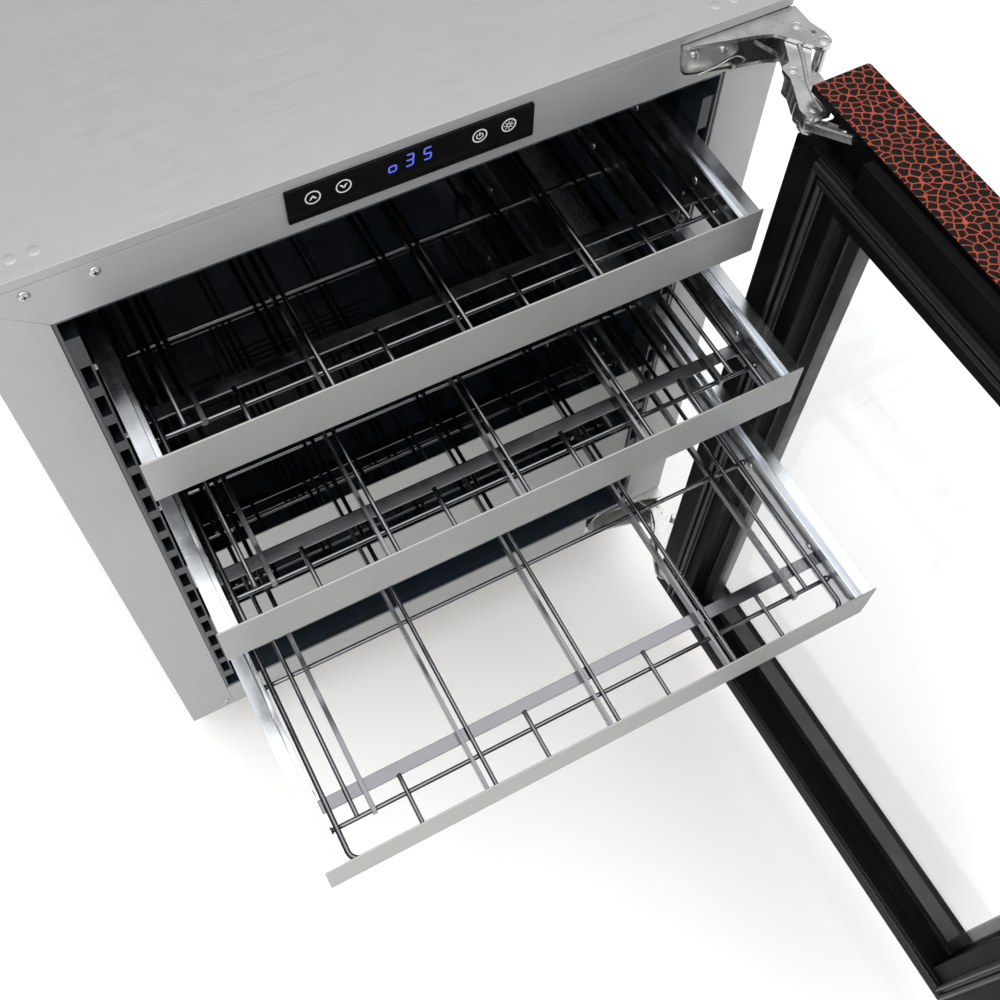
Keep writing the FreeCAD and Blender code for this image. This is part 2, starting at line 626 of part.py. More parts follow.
def frame_rod(name):
    """Rod bent round the front of a rack and back along both sides."""
    body = doc.addObject("PartDesign::Body", name + "Frame")
    path = sketch_on(body, "XY_Plane", name + "Path")
    half, front, corner = value("rack_half_width"), value("rack_front"), value("rack_corner")
    back = value("rack_front + rack_depth")
    slant = corner * (1 - math.sqrt(0.5))
    spot = FreeCAD.Vector
    path.addGeometry(Part.LineSegment(spot(-half, back, 0), spot(-half, front + corner, 0)), False)
    path.addGeometry(Part.Arc(spot(-half, front + corner, 0), spot(-half + slant, front + slant, 0),
                              spot(-half + corner, front, 0)), False)
    path.addGeometry(Part.LineSegment(spot(-half + corner, front, 0), spot(half - corner, front, 0)), False)
    path.addGeometry(Part.Arc(spot(half - corner, front, 0), spot(half - slant, front + slant, 0),
                              spot(half, front + corner, 0)), False)
    path.addGeometry(Part.LineSegment(spot(half, front + corner, 0), spot(half, back, 0)), False)
    ends = {}
    for index in range(5):
        for point in (1, 2):
            spot_here = path.getPoint(index, point)
            key = (round(spot_here.x, 3), round(spot_here.y, 3))
            if key in ends:
                path.addConstraint(Sketcher.Constraint("Coincident", ends[key][0], ends[key][1], index,
                                                       point))
            ends[key] = (index, point)
    corners = ((0, 1, "-rack_half_width", "rack_front + rack_depth"),
               (0, 2, "-rack_half_width", "rack_front + rack_corner"),
               (2, 1, "-rack_half_width + rack_corner", "rack_front"),
               (2, 2, "rack_half_width - rack_corner", "rack_front"),
               (4, 1, "rack_half_width", "rack_front + rack_corner"),
               (4, 2, "rack_half_width", "rack_front + rack_depth"))
    for index, point, x, y in corners:
        for kind, text in (("DistanceX", x), ("DistanceY", y)):
            row = path.addConstraint(Sketcher.Constraint(kind, -1, 1, index, point, value(text)))
            bind(path, "Constraints[%d]" % row, text)
    for index in (1, 3):
        row = path.addConstraint(Sketcher.Constraint("Radius", index, corner))
        bind(path, "Constraints[%d]" % row, "rack_corner")
    profile = sketch_on(body, "XZ_Plane", name + "Profile")
    circle(profile, ("-rack_half_width", "0"), "frame_rod_radius")
    profile.AttachmentOffset = FreeCAD.Placement(spot(0, 0, -back), FreeCAD.Rotation())
    bind(profile, "AttachmentOffset.Base.z", "-(rack_front + rack_depth)")
    pipe = body.newObject("PartDesign::AdditivePipe", name + "Pipe")
    pipe.Profile = profile
    pipe.Spine = path
    return body


def make_rack(name, reach):
    """Welded wire rack for bottles that lie front to back."""
    pieces = [frame_rod(name)]
    for index, along in enumerate(("34", "160", "270", "rack_front + rack_depth - 3")):
        pieces.append(rod("%sCross%d" % (name, index), ("-(%s)" % reach, along, "-3.3"), "rod_radius",
                          "2 * (%s)" % reach, "x"))
    pieces.append(box(name + "Strip", ("-(%s)" % reach, "48", "-3"), ("2 * (%s)" % reach, "11", "1.6")))
    for index in range(3):
        centre = "(%d - 1) * divider_pitch" % index
        pieces.append(box("%sBar%d" % (name, index), (centre + " - 1.5", "rack_front", "-3"),
                          ("3", "rack_depth", "9")))
        pieces.append(rod("%sWire%d" % (name, index), (centre + " + 8", "rack_front", "0"), "rod_radius",
                          "rack_depth", "y"))
    for index in range(4):
        pieces.append(rod("%sStub%d" % (name, index),
                          ("(%d - 1.5) * divider_pitch" % index, "rack_front", "0"),
                          "rod_radius", "44", "y"))
    for index, sign in enumerate((-1, 1)):
        pieces.append(box("%sSide%d" % (name, index), ("%d * 190 - 2" % sign, "30", "-3"),
                          ("4", "rack_depth - 20", "7")))
        pieces.append(rod("%sEdge%d" % (name, index), ("%d * 203" % sign, "34", "0"), "rod_radius",
                          "rack_depth - 26", "y"))
    return fuse(name, pieces)


def make_bottom_rack():
    """Fixed rack on cross feet that stand on the floor of the tub."""
    reach = "(rack_half_width + 3.5)"
    rack = make_rack("BottomRack", reach)
    feet = [box("BottomRackFoot%d" % index, ("-" + reach, along, "-22"), ("2 * " + reach, "4", "21"))
            for index, along in enumerate(("100", "300"))]
    whole = fuse("BottomRackWhole", [rack] + feet)
    bind(whole, "Placement.Base.y", "14")
    bind(whole, "Placement.Base.z", "cavity_bottom + 22.1")
    subpart("bottom_rack", whole)


# ---------------------------------------------------------------- door

def on_door(node, piece):
    """Carry a piece drawn in the door's own frame to where the open door stands."""
    piece.Placement = FreeCAD.Placement(FreeCAD.Vector(),
                                        FreeCAD.Rotation(FreeCAD.Vector(0, 0, 1), SIZES["door_turn"]))
    bind_place(piece, ("door_x", "door_y", "0"))
    bind(piece, "Placement.Rotation.Angle", "door_turn")
    return subpart(node, piece)


OPENING_LOW = "door_bottom + door_rail"
OPENING_HEIGHT = "door_height - 2 * door_rail"
OPENING_WIDTH = "door_width - hinge_stile - latch_stile"


def window(name, near, depth, grow="0"):
    """Block through the window opening, larger all round by an amount."""
    return box(name, ("hinge_stile - (%s)" % grow, near, OPENING_LOW + " - (%s)" % grow),
               (OPENING_WIDTH + " + 2 * (%s)" % grow, depth, OPENING_HEIGHT + " + 2 * (%s)" % grow))


def both_hinges(low, height):
    """Low edges of a block at the top hinge and of its mirror image at the bottom hinge."""
    return (low, "hinge_mirror - (%s) - (%s)" % (low, height))


def make_door():
    """Overlay panel, inner frame, two panes on a spacer, gasket and handle."""
    slab = prism("DoorSlab", "XY_Plane",
                 rectangle(("0", "panel_start"), ("door_width", "panel_start + panel_thickness")),
                 "door_bottom", "door_height")
    round_edges(slab, lambda edge: upright(edge) and edge.BoundBox.YMin > 30, "3")
    waste = [window("DoorWindow", "0", "100")]
    for index, low in enumerate(both_hinges("hinge_low + 2.5", "37.5")):
        waste.append(box("PanelPocket%d" % index, ("-1", "panel_start - 1", low), ("34", "32", "37.5")))
    on_door("door_panel", cut("DoorPanel", slab, waste))

    inset = "frame_inset"
    slab = prism("FrameSlab", "XY_Plane",
                 rectangle((inset, "0"), ("door_width - frame_inset", "panel_start")),
                 "frame_bottom", "frame_height")
    waste = [window("FrameWindow", "-1", "20")]
    for index, low in enumerate(both_hinges("hinge_low + 2.5", "60")):
        waste.append(box("DeepPocket%d" % index, ("0", "-1", low), ("27", "20", "60")))
    for index, low in enumerate(both_hinges("hinge_low + 17.2", "60")):
        waste.append(box("ShallowPocket%d" % index, ("0", "-1", low), ("71", "20", "60")))
    on_door("door_inner_frame", cut("DoorInnerFrame", slab, waste))

    for node, near in (("inner_glass", "glass_start"),
                       ("outer_glass", "glass_start + glass_sheet + glass_gap")):
        name = node.title().replace("_", "")
        pane = window(name + "Pane", near, "glass_sheet", "-0.2")
        on_door(node, group(name, [pane]))
    ring = window("SpacerOuter", "glass_start + glass_sheet", "glass_gap", "-0.2")
    hole = window("SpacerInner", "0", "100", "-12")
    on_door("glass_spacer", cut("GlassSpacer", ring, [hole]))

    base = box("GasketBase", ("36", "-2", "139"), ("514", "2", "701"))
    base_hole = box("GasketBaseHole", ("50", "-3", "153"), ("486", "4", "673"))
    ridges = []
    for index, edge in enumerate(("0", "9")):
        outer = box("GasketRidge%d" % index, ("36 + " + edge, "-8", "139 + " + edge),
                    ("514 - 2 * " + edge, "6.5", "701 - 2 * " + edge))
        hole = box("GasketRidgeHole%d" % index, ("41 + " + edge, "-9", "144 + " + edge),
                   ("504 - 2 * " + edge, "8", "691 - 2 * " + edge))
        ridges.append(cut("GasketRidgeCut%d" % index, outer, [hole]))
    on_door("door_gasket", fuse("DoorGasket", [cut("GasketBaseRing", base, [base_hole])] + ridges))

    back = "panel_start + panel_thickness"
    grip = rod("HandleGrip", ("door_width - 35", back + " + 36", "330"), "7", "320", "z")
    posts = [rod("HandlePost%d" % index, ("door_width - 35", back, z), "5", "36", "y")
             for index, z in enumerate(("370", "610"))]
    on_door("door_handle", fuse("DoorHandle", [grip] + posts))


# ---------------------------------------------------------------- articulated hinge

def link_plate(name, points, half, low, height):
    """Bar of even width with round ends through a list of points, seen from above."""
    pieces = []
    for index, (x, y) in enumerate(points):
        pieces.append(rod("%sEye%d" % (name, index), (x, y, low), half, height, "z"))
    for index in range(len(points) - 1):
        (x1, y1), (x2, y2) = points[index], points[index + 1]
        turn = math.atan2(value(y2) - value(y1), value(x2) - value(x1))
        bar = doc.addObject("Part::Box", "%sBar%d" % (name, index))
        bind(bar, "Length", "sqrt((%s - (%s))^2 + (%s - (%s))^2)" % (x2, x1, y2, y1))
        bind(bar, "Width", "2 * (%s)" % half)
        bind(bar, "Height", height)
        bar.Placement = FreeCAD.Placement(FreeCAD.Vector(),
                                          FreeCAD.Rotation(FreeCAD.Vector(0, 0, 1), math.degrees(turn)))
        bind_place(bar, ("%s + (%s) * %.6f" % (x1, half, math.sin(turn)),
                         "%s - (%s) * %.6f" % (y1, half, math.cos(turn)), low))
        pieces.append(bar)
    return fuse(name, pieces)


HOUSING_PIN = ("housing_pin_x", "housing_pin_y")
CROSS_PIN = ("cross_pin_x", "cross_pin_y")
DOOR_PIN = ("door_pin_x", "door_pin_y")
NOSE_PIN = ("nose_pin_x", "nose_pin_y")
ARM_BEND = ("268.8", "-54.5")
LOWER_HEAD = ("281", "0")
LOWER_TAIL = ("259.5", "-79")
HOUSING_END = "209.6"
PLATE_OUTLINE = ((HOUSING_END, "37"), (HOUSING_END, "-0.6"), ("212.5", "-3"), ("239", "-9.6"),
                 ("262", "-14.4"), ("274", "-18.6"), ("281", "-26"), ("297.5", "-46"), ("303", "-47"),
                 ("308", "-42"), ("308", "-33"), ("304.5", "-20"), ("304.5", "-0.4"), ("301.4", "-0.4"),
                 ("301.4", "37"))
FOOT_OUTLINE = ((HOUSING_END, "37"), (HOUSING_END, "1.6"), ("258", "1.6"), ("258", "-3"), ("269", "-5"),
                ("280.4", "-7.1"), ("290.4", "-11.4"), ("301.4", "-14"), ("301.4", "37"))
BORE = "hinge_pin_radius + pin_play"
HEAD = "hinge_pin_radius + 0.5"


def make_hinges():
    """Scissor hinges: housing in the cabinet, two crossed levers, bracket on the door."""
    housings, uppers, lowers, brackets = [], [], [], []
    for tag in ("High", "Low"):
        def level(low, height, tag=tag):
            """Low edge of a block from its height over the housing's foot, mirrored for the low hinge."""
            low = "hinge_low + %s" % low
            return low if tag == "High" else "hinge_mirror - (%s) - (%s)" % (low, height)

        name = "Housing" + tag
        plate = prism(name + "Plate", "XY_Plane", PLATE_OUTLINE, level("34.5", "hinge_plate"),
                      "hinge_plate")
        foot = prism(name + "Foot", "XY_Plane", FOOT_OUTLINE, level("0", "hinge_plate"), "hinge_plate")
        wall = box(name + "Wall", (HOUSING_END, "35", level("3", "31.5")),
                   ("301.4 - " + HOUSING_END, "2", "31.5"))
        end = box(name + "End", (HOUSING_END, "1.6", level("3", "31.5")), ("2", "35.4", "31.5"))
        pin = rod(name + "Pin", HOUSING_PIN + (level("17.2", "17.3"),), "hinge_pin_radius", "17.3", "z")
        spacer = rod(name + "Spacer", NOSE_PIN + (level("10", "24.5"),), "4.2", "24.5", "z")
        rivets = [rod("%sRivet%d" % (name, index), spot + (level("37.5", "1"),), HEAD, "1", "z")
                  for index, spot in enumerate((HOUSING_PIN, NOSE_PIN))]
        housings.append(fuse(name, [plate, foot, wall, end, pin, spacer] + rivets))

        half = "lever_width / 2"
        lower = link_plate("Lower%sBar" % tag, [LOWER_HEAD, CROSS_PIN, LOWER_TAIL], half,
                           level("3.6", "13.2"), "13.2")
        bore = rod("Lower%sBore" % tag, CROSS_PIN + (level("0", "20"),), BORE, "20", "z")
        lowers.append(cut("Lower%s" % tag, lower, [bore]))

        name = "Upper" + tag
        plate = link_plate(name + "Plate", [DOOR_PIN, ARM_BEND, HOUSING_PIN], half, level("31", "3"), "3")
        web = link_plate(name + "Web", [ARM_BEND, HOUSING_PIN], half + " - 1.5", level("17.3", "13.7"),
                         "13.7")
        cross = rod(name + "Pin", CROSS_PIN + (level("3.7", "13.6"),), "hinge_pin_radius", "13.6", "z")
        bores = [rod("%sBore%d" % (name, index), spot + (level("15", "22"),), BORE, "22", "z")
                 for index, spot in enumerate((DOOR_PIN, HOUSING_PIN))]
        uppers.append(cut(name, fuse(name + "Solid", [plate, web, cross]), bores))

        name = "Bracket" + tag
        barrel = rod(name + "Barrel", DOOR_PIN + (level("17.5", "13.1"),), "7.5", "13.1", "z")
        pin = rod(name + "Pin", DOOR_PIN + (level("30.6", "3.8"),), "hinge_pin_radius", "3.8", "z")
        cap = rod(name + "Cap", DOOR_PIN + (level("34.4", "1"),), HEAD, "1", "z")
        profile = [("-92", "17.6"), ("-92", "25"), ("-131", "43"), ("-131", "32")]
        outline = [(y, level(z, "0")) for y, z in profile]
        leg = prism(name + "Leg", "YZ_Plane", outline, "252.6", "9.2")
        screw = rod(name + "Screw", ("250.6", "-123", level("34.5", "0")), "3.4", "2", "x")
        brackets.append(fuse(name, [barrel, pin, cap, leg, screw]))
    subpart("hinge_housings", group("HingeHousings", housings))
    subpart("hinge_upper_levers", group("HingeUpperLevers", uppers))
    subpart("hinge_lower_levers", group("HingeLowerLevers", lowers))
    subpart("door_hinge_brackets", group("DoorHingeBrackets", brackets))


make_top_panel()
make_side_panel("Left", -1)
make_side_panel("Right", 1)
make_top_rail()
make_bottom_rail()
make_back_panel()
make_base_tray()
make_liner()
make_foam()
make_kick_grille()
make_levelling_legs()
make_machine()
make_evaporator()
make_fittings()
make_wall_strips()
make_fixed_slides()
make_bottom_rack()
for number in SHELF_TOPS:
    make_shelf(number)
make_door()
make_hinges()

doc.recompute()
for item in doc.Objects:
    if "Invalid" in item.State or "Error" in item.State:
        raise RuntimeError("%s did not build: %s" % (item.Name, item.State))

os.makedirs("parts", exist_ok=True)
for piece in SUBPARTS:
    shape = piece.Shape
    if shape.isNull() or not shape.isValid() or not shape.Solids:
        raise RuntimeError(piece.Label + " is not a sound solid")
    shape.exportStep("parts/%s.step" % piece.Label)
    print("%s %d solids %.0f mm3" % (piece.Label, len(shape.Solids), shape.Volume))
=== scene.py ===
import json
import math
import bmesh
import bpy
from mathutils import Matrix, Vector


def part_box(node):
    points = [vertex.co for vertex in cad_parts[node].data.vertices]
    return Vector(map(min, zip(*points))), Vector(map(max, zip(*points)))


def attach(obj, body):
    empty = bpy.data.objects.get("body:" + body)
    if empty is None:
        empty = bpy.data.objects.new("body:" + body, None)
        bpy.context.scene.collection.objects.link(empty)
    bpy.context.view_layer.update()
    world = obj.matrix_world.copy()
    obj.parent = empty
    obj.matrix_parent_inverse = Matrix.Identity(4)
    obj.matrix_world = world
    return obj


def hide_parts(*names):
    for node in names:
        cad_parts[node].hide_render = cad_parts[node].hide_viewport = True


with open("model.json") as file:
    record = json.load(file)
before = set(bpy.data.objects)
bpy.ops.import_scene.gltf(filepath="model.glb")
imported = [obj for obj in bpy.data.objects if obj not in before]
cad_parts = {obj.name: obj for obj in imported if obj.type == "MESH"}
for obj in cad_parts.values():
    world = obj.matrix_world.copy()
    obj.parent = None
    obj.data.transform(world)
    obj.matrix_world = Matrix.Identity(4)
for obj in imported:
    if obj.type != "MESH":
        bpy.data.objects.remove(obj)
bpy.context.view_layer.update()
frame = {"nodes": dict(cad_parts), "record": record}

# Visual model of the wine cooler over its CAD frame. The scene is in metres, and the mesh helpers take
# millimetres in the same frame: X to the right, Y into the cabinet, Z up from the floor.

NODES = frame["nodes"]
RECORD = frame["record"]
BODIES = RECORD["behaviour"]["bodies"]
BODY_OF = {node: body for body, members in BODIES.items() for node in members}
SLOT_OF = {row["node"]: row["material_slot"] for row in RECORD["subparts"]}


# ---------------------------------------------------------------- node materials

class Shader:
    """A node material with short calls for the nodes that the looks below need."""

    def __init__(self, name):
        self.material = bpy.data.materials.new(name)
        self.material.use_nodes = True
        self.tree = self.material.node_tree
        self.tree.nodes.clear()
        self.out = self.tree.nodes.new("ShaderNodeOutputMaterial")
        self.surface = self.tree.nodes.new("ShaderNodeBsdfPrincipled")
        self.join(self.surface.outputs[0], self.out.inputs["Surface"])
        spots = self.node("ShaderNodeTexCoord")
        self.place = spots.outputs["Object"]
        self.facing = spots.outputs["Normal"]

    def node(self, kind, **settings):
        made = self.tree.nodes.new(kind)
        for key, setting in settings.items():
            setattr(made, key, setting)
        return made

    def join(self, source, target):
        self.tree.links.new(source, target)

    def feed(self, target, source):
        if isinstance(source, bpy.types.NodeSocket):
            self.join(source, target)
        else:
            target.default_value = source

    def stretch(self, scale):
        """Object coordinates scaled along each axis."""
        mapping = self.node("ShaderNodeMapping")
        self.join(self.place, mapping.inputs["Vector"])
        mapping.inputs["Scale"].default_value = scale
        return mapping.outputs[0]

    def noise(self, scale, detail=3.0, vector=None, rough=0.5):
        made = self.node("ShaderNodeTexNoise")
        self.join(vector if vector is not None else self.place, made.inputs["Vector"])
        made.inputs["Scale"].default_value = scale
        made.inputs["Detail"].default_value = detail
        made.inputs["Roughness"].default_value = rough
        return made.outputs["Fac"]

    def ramp(self, value, stops):
        made = self.node("ShaderNodeValToRGB")
        self.feed(made.inputs[0], value)
        bar = made.color_ramp
        while len(bar.elements) < len(stops):
            bar.elements.new(0.5)
        for element, (spot, colour) in zip(bar.elements, stops):
            element.position = spot
            element.color = (*colour, 1.0) if isinstance(colour, tuple) else (colour, colour, colour, 1.0)
        return made.outputs[0]

    def scale_range(self, value, low, high, start=0.0, end=1.0):
        made = self.node("ShaderNodeMapRange")
        self.feed(made.inputs["Value"], value)
        made.inputs["From Min"].default_value = start
        made.inputs["From Max"].default_value = end
        made.inputs["To Min"].default_value = low
        made.inputs["To Max"].default_value = high
        return made.outputs[0]

    def math(self, kind, one, two=0.0):
        made = self.node("ShaderNodeMath", operation=kind)
        self.feed(made.inputs[0], one)
        self.feed(made.inputs[1], two)
        return made.outputs[0]

    def blend(self, factor, one, two):
        made = self.node("ShaderNodeMix", data_type="RGBA")
        self.feed(made.inputs["Factor"], factor)
        for target, source in ((made.inputs[6], one), (made.inputs[7], two)):
            self.feed(target, source if isinstance(source, bpy.types.NodeSocket) else (*source, 1.0))
        return made.outputs[2]

    def bump(self, height, strength, distance, before=None):
        made = self.node("ShaderNodeBump")
        self.feed(made.inputs["Height"], height)
        made.inputs["Strength"].default_value = strength
        made.inputs["Distance"].default_value = distance
        if before is not None:
            self.join(before, made.inputs["Normal"])
        return made.outputs[0]

    def finish(self, colour=None, rough=None, metal=None, normal=None):
        for name, source in (("Base Color", colour), ("Roughness", rough), ("Metallic", metal),
                             ("Normal", normal)):
            if source is None:
                continue
            if isinstance(source, tuple):
                source = (*source, 1.0)
            self.feed(self.surface.inputs[name], source)
        return self.material


# Texture scales are per metre, and depths and pebble sizes are in metres.
GRAIN_ACROSS = 900.0
GRAIN_ALONG = 9.0
LINE_DEPTH = 0.00005
SKIN_DEPTH = 0.0001
COAT_HAZE = 0.08
PEBBLE_TURN = 26.6
PEBBLE_LENGTH = 0.0070
PEBBLE_WIDTH = 0.0056
PEBBLE_WOBBLE = 0.0028
PEBBLE_SPREAD = 0.72
FACES_AXIS = 0.7


def brushed(name, colour, along, rough=0.34, metal=1.0, depth=0.25, streak=0.12):
    """Brushed sheet steel, its fine lines running along one axis."""
    shader = Shader(name)
    scale = [GRAIN_ACROSS] * 3
    scale["xyz".index(along)] = GRAIN_ALONG
    lines = shader.noise(1.0, 4.0, shader.stretch(scale), 0.65)
    cloud = shader.noise(7.0, 3.0)
    wear = shader.noise(60.0, 5.0, rough=0.7)
    low = tuple(part * (1.0 - streak) for part in colour)
    high = tuple(min(part * (1.0 + streak), 1.0) for part in colour)
    mixed = shader.math("ADD", shader.math("MULTIPLY", lines, 0.65), shader.math("MULTIPLY", cloud, 0.35))
    tint = shader.ramp(mixed, ((0.3, low), (0.7, high)))
    gloss = shader.math("ADD", shader.scale_range(lines, rough - 0.06, rough + 0.08, 0.3, 0.7),
                        shader.scale_range(wear, -0.02, 0.04, 0.4, 0.7))
    shader.surface.inputs["Metallic"].default_value = metal
    return shader.finish(tint, gloss, None, shader.bump(lines, depth, LINE_DEPTH))


def polished(name, colour, rough=0.14, dirt=0.12, grit=0.06):
    """Bright plated steel with faint drawing marks and a little haze."""
    shader = Shader(name)
    haze = shader.noise(45.0, 5.0, rough=0.65)
    pits = shader.noise(900.0, 2.0)
    tint = shader.ramp(haze, ((0.3, tuple(part * (1.0 - dirt) for part in colour)), (0.7, colour)))
    gloss = shader.scale_range(haze, rough - 0.04, rough + 0.1, 0.3, 0.75)
    shader.surface.inputs["Metallic"].default_value = 1.0
    return shader.finish(tint, gloss, None, shader.bump(pits, grit, SKIN_DEPTH))


def plastic(name, colour, rough=0.4, grain=1400.0, depth=0.12, coat=0.0, mottle=0.15, shine=0.5):
    """Moulded plastic with a fine spark-eroded grain and slight shading."""
    shader = Shader(name)
    fine = shader.noise(grain, 3.0, rough=0.6)
    broad = shader.noise(18.0, 4.0)
    low = tuple(part * (1.0 - mottle) for part in colour)
    high = tuple(min(part * (1.0 + mottle), 1.0) for part in colour)
    tint = shader.ramp(broad, ((0.3, low), (0.7, high)))
    gloss = shader.math("ADD", shader.scale_range(fine, rough - 0.05, rough + 0.07, 0.3, 0.7),
                        shader.scale_range(broad, -0.04, 0.05, 0.3, 0.7))
    shader.surface.inputs["Coat Weight"].default_value = coat
    shader.surface.inputs["Coat Roughness"].default_value = COAT_HAZE
    shader.surface.inputs["Specular IOR Level"].default_value = shine
    return shader.finish(tint, gloss, None, shader.bump(fine, depth, SKIN_DEPTH))


def cast_metal(name, colour, rough):
    """Die-cast hinge metal: satin, a little grainy, brighter where it is rubbed."""
    shader = Shader(name)
    skin = shader.noise(700.0, 4.0, rough=0.7)
    flow = shader.noise(55.0, 4.0)
    tint = shader.ramp(flow, ((0.25, tuple(part * 0.82 for part in colour)), (0.75, colour)))
    gloss = shader.math("ADD", shader.scale_range(skin, rough - 0.07, rough + 0.1, 0.3, 0.7),
                        shader.scale_range(flow, -0.05, 0.06, 0.3, 0.7))
    shader.surface.inputs["Metallic"].default_value = 1.0
    return shader.finish(tint, gloss, None, shader.bump(skin, 0.03, SKIN_DEPTH))


def pebbled(name):
    """Printed and embossed panel: black pebbles in a thin orange-brown net, laid flat on every face."""
    shader = Shader(name)
    spot = shader.node("ShaderNodeSeparateXYZ")
    shader.join(shader.place, spot.inputs[0])
    facing = shader.node("ShaderNodeSeparateXYZ")
    shader.join(shader.facing, facing.inputs[0])
    x, y, z = spot.outputs
    outer = shader.math("GREATER_THAN", shader.math("ABSOLUTE", facing.outputs[0]), FACES_AXIS)
    upper = shader.math("GREATER_THAN", shader.math("ABSOLUTE", facing.outputs[2]), FACES_AXIS)
    across = shader.math("ADD", x, shader.math("MULTIPLY", outer, shader.math("SUBTRACT", y, x)))
    along = shader.math("ADD", z, shader.math("MULTIPLY", upper, shader.math("SUBTRACT", y, z)))
    flat = shader.node("ShaderNodeCombineXYZ")
    shader.join(across, flat.inputs[0])
    shader.join(along, flat.inputs[1])
    wobble = shader.node("ShaderNodeTexNoise")
    shader.join(flat.outputs[0], wobble.inputs["Vector"])
    wobble.inputs["Scale"].default_value = 95.0
    wobble.inputs["Detail"].default_value = 2.0
    shift = shader.node("ShaderNodeVectorMath", operation="MULTIPLY_ADD")
    shader.join(wobble.outputs["Color"], shift.inputs[0])
    shift.inputs[1].default_value = (PEBBLE_WOBBLE, PEBBLE_WOBBLE, 0.0)
    shader.join(flat.outputs[0], shift.inputs[2])
    turned = shader.node("ShaderNodeMapping")
    shader.join(shift.outputs[0], turned.inputs["Vector"])
    turned.inputs["Rotation"].default_value = (0.0, 0.0, math.radians(PEBBLE_TURN))
    squeezed = shader.node("ShaderNodeVectorMath", operation="MULTIPLY")
    shader.join(turned.outputs[0], squeezed.inputs[0])
    squeezed.inputs[1].default_value = (1.0 / PEBBLE_LENGTH, 1.0 / PEBBLE_WIDTH, 1.0)
    cells = []
    for feature in ("DISTANCE_TO_EDGE", "F1"):
        cell = shader.node("ShaderNodeTexVoronoi", feature=feature, voronoi_dimensions="2D")
        shader.join(squeezed.outputs[0], cell.inputs["Vector"])
        cell.inputs["Scale"].default_value = 1.0
        cell.inputs["Randomness"].default_value = PEBBLE_SPREAD
        cells.append(cell)
    edge, core = cells
    split = shader.node("ShaderNodeSeparateColor")
    shader.join(core.outputs["Color"], split.inputs[0])
    roundness = shader.math("MULTIPLY", shader.math("SUBTRACT", 0.76, core.outputs["Distance"]), 0.8)
    gap = shader.math("MINIMUM", edge.outputs["Distance"], roundness)
    fray = shader.math("MULTIPLY", shader.math("SUBTRACT", shader.noise(1100.0, 3.0), 0.5), 0.035)
    gap = shader.math("ADD", gap, fray)
    net = shader.ramp(gap, ((0.04, 1.0), (0.10, 0.0)))
    rust = shader.ramp(shader.noise(160.0, 4.0), ((0.3, (0.20, 0.034, 0.018)), (0.7, (0.34, 0.062, 0.036))))
    stone = shader.ramp(split.outputs[0], ((0.0, (0.0015, 0.0015, 0.0015)), (1.0, (0.006, 0.005, 0.005))))
    rim_stops = ((0.10, (0.001, 0.001, 0.001)), (0.25, (0.007, 0.005, 0.004)), (0.42, (0.002, 0.002, 0.002)))
    rim = shader.ramp(gap, rim_stops)
    colour = shader.blend(net, shader.blend(0.5, stone, rim), rust)
    dome = shader.ramp(gap, ((0.03, 0.0), (0.16, 0.75), (0.42, 1.0)))
    normal = shader.bump(dome, 0.4, 0.0006)
    normal = shader.bump(shader.noise(2200.0, 2.0), 0.12, SKIN_DEPTH, normal)
    shader.surface.inputs["Specular IOR Level"].default_value = 0.1
    return shader.finish(colour, shader.scale_range(net, 0.42, 0.62), 0.0, normal)


def clear_glass(name, tint):
    """Float glass with a faint green body, and the slightest waviness."""
    shader = Shader(name)
    wave = shader.noise(6.0, 1.0)
    paler = tuple(min(1.0, part * 1.02) for part in tint)
    shader.surface.inputs["Transmission Weight"].default_value = 1.0
    shader.surface.inputs["IOR"].default_value = 1.3
    body = shader.ramp(wave, ((0.3, tint), (0.7, paler)))
    return shader.finish(body, shader.scale_range(wave, 0.0, 0.02), 0.0)


def foam_look(name):
    """Pale blown foam with small open cells."""
    shader = Shader(name)
    cells = shader.noise(420.0, 5.0, rough=0.7)
    broad = shader.noise(14.0, 3.0)
    tint = shader.blend(broad, (0.78, 0.66, 0.40), (0.88, 0.78, 0.54))
    return shader.finish(tint, 0.85, 0.0, shader.bump(cells, 0.5, 0.0008))


def board_look(name):
    """Green circuit board with paler tracks."""
    shader = Shader(name)
    track = shader.node("ShaderNodeTexBrick")
    shader.join(shader.stretch((220.0, 220.0, 220.0)), track.inputs["Vector"])
    mask = shader.ramp(track.outputs["Fac"], ((0.2, 0.0), (0.6, 1.0)))
    tint = shader.blend(mask, (0.02, 0.16, 0.06), (0.10, 0.34, 0.16))
    return shader.finish(tint, shader.scale_range(shader.noise(300.0), 0.25, 0.45), 0.0)


def lamp_look(name):
    """Milky lamp cover with moulded ribs."""
    shader = Shader(name)
    ribs = shader.node("ShaderNodeTexWave", wave_type="BANDS")
    shader.join(shader.stretch((260.0, 0.0, 0.0)), ribs.inputs["Vector"])
    tint = shader.ramp(shader.noise(40.0), ((0.3, (0.80, 0.80, 0.78)), (0.7, (0.92, 0.92, 0.90))))
    return shader.finish(tint, 0.28, 0.0, shader.bump(ribs.outputs["Fac"], 0.3, 0.0006))


def glowing(name, colour, power):
    """Lit display segment behind dark glass."""
    shader = Shader(name)
    shader.surface.inputs["Emission Color"].default_value = (*colour, 1.0)
    shader.surface.inputs["Emission Strength"].default_value = power
    tint = shader.ramp(shader.noise(900.0), ((0.3, (0.01, 0.01, 0.03)), (0.7, (0.02, 0.02, 0.05))))
    return shader.finish(tint, 0.3, 0.0)


